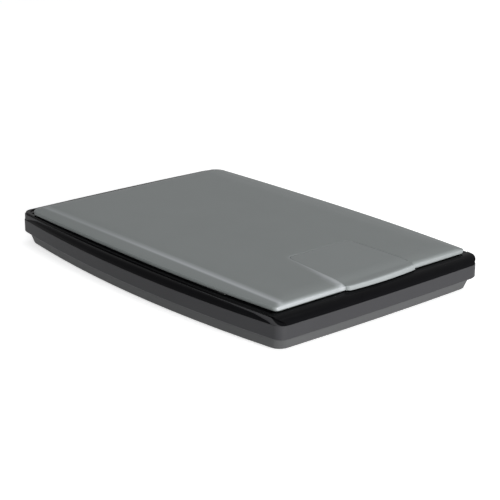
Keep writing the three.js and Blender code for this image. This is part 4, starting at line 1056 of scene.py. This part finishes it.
face = pad_plan(0)
x, y = face[..., 0], face[..., 1]
inset = np.minimum(PAD_HALF - np.abs(x), np.minimum(y - PAD_FRONT, PAD_REAR - y))
face = at_height(face, PAD_EDGE + PAD_CROWN * eased(inset / 16))
rows = np.concatenate([
    soft_corner(rim_of(face), pad_ring(0.8, PAD_EDGE), pad_ring(0.8, 32.6), 5),
    soft_corner(pad_ring(0.8, 32.3), pad_ring(0.8, PAD_LOW), pad_ring(0.2, PAD_LOW), 4)])
turn_over = np.array([-1, 1, -1.0])
shift = np.array([0, 0, PAD_HIGH + PAD_LOW])
pad, _ = pillow("foam_pad", face * turn_over + shift, rows * turn_over + shift)
stand_for(pad, "cover", "pad_white", "document_pad")
print("pad", len(pad.data.polygons), "faces")

# %% [markdown]
# ## On the main board
# Chips with their legs, a connector for the ribbon, a can and a row of small parts stand on the board's
# inner face. They are many small blocks in one mesh, with their edges rounded by a Bevel modifier.


# %% Blocks on the board
def blocks(name, lows, highs, body, slot, radius):
    """Many blocks in one mesh. A block's eight corners pick its low or high place for each axis."""
    lows, highs = np.asarray(lows, float), np.asarray(highs, float)
    pick = np.array([(0, 0, 0), (1, 0, 0), (1, 1, 0), (0, 1, 0), (0, 0, 1), (1, 0, 1), (1, 1, 1), (0, 1, 1)])
    sides = np.array([(0, 3, 2, 1), (4, 5, 6, 7), (0, 1, 5, 4), (1, 2, 6, 5), (2, 3, 7, 6), (3, 0, 4, 7)])
    corners = lows[:, None] + (highs - lows)[:, None] * pick[None]
    faces = (np.arange(len(lows))[:, None, None] * 8 + sides[None]).reshape(-1, 4)
    piece = mesh_piece(name, corners.reshape(-1, 3) * MM, faces.tolist())
    round_edges(piece, radius)
    stand_for(piece, body, slot)


def legs(x0, x1, z, count):
    """Low and high corners of a row of chip legs between two places, at a height."""
    x = np.linspace(x0, x1, count)
    low = np.stack([x - 0.15, np.full(count, 172.9), np.full(count, z - 0.5)], -1)
    return low, low + np.array([0.3, 0.45, 1.0])


chips = [((-52.5, 171.9, 17.4), (-42.5, 173.2, 24.2)), ((-12.5, 172.1, 18.4), (-5.5, 173.2, 23.0))]
blocks("board_chips", *zip(*chips), "base", "inner_black", 0.2)
lows, highs = zip(legs(-52, -43, 17.1, 14), legs(-52, -43, 24.5, 14), legs(-12, -6, 18.1, 8),
                  legs(-12, -6, 23.3, 8))
blocks("chip_legs", np.concatenate(lows), np.concatenate(highs), "base", "plated_steel", 0.05)
small = np.stack([np.linspace(10, 32, 8), np.full(8, 172.6), np.tile([17.0, 21.5], 4)], -1)
blocks("board_resistors", small, small + np.array([1.6, 0.75, 0.8]), "base", "inner_black", 0.08)
blocks("ribbon_connector", [(-31.5, 171.5, 20.2), (-31.5, 173.15, 16.0)],
       [(-16.5, 173.3, 23.6), (-16.5, 173.35, 20.6)], "base", "gear_plastic", 0.2)
CAPACITOR = [(0.3, 168.6), (2.6, 168.6), (2.9, 168.9), (2.9, 172.2), (2.6, 172.5), (2.9, 172.8), (2.9, 173.3),
             (0.3, 173.3)]
turned("board_can", CAPACITOR, (3, 0, 21), "Y", "base", "plated_steel", steps=32)
print("board dressed")

# %% [markdown]
# Each hinge pin sits in two lugs under the cover, one on each side of a post.

# %% Hinge lugs
LUG_AWAY, LUG_HALF = 10.8, 2.5
lug_x = [side * HINGE_X + way * LUG_AWAY for side in (-1, 1) for way in (-1, 1)]
lows, highs = ([(x + way * LUG_HALF, y, z) for x in lug_x]
               for way, y, z in ((-1, 167.2, 33.25), (1, 171.6, 37.2)))
blocks("hinge_lugs", lows, highs, "cover", "silver_cover", 0.5)
print(len(lug_x), "lugs")

# %% [markdown]
# ## The floor
# A wide pale floor carries the shadow. The lens sees a little light of its own from it, so that it meets
# the white world without a line, and the shadow still shows.

# %% Floor
FLOOR_HALF, FLOOR_GLOW = 12.0, 0.6
corners = [(x * FLOOR_HALF, y * FLOOR_HALF, 0) for x, y in ((-1, -1), (1, -1), (1, 1), (-1, 1))]
floor = mesh_piece("studio_floor", corners, [(0, 1, 2, 3)])
paper, tree, surface = new_surface("studio_paper")
plug(tree, surface, {"Base Color": (0.8, 0.8, 0.8, 1), "Roughness": 0.9, "Specular IOR Level": 0.0})
glow = add_node(tree, "Emission")
plug(tree, glow, {"Strength": math_node(tree, "MULTIPLY", looked_at(tree), FLOOR_GLOW)})
both = plug_in_order(tree, add_node(tree, "AddShader"), surface.outputs[0], glow.outputs[0])
plug(tree, tree.nodes["Material Output"], {"Surface": both})
floor.data.materials.append(paper)
print("floor of", 2 * FLOOR_HALF, "m")
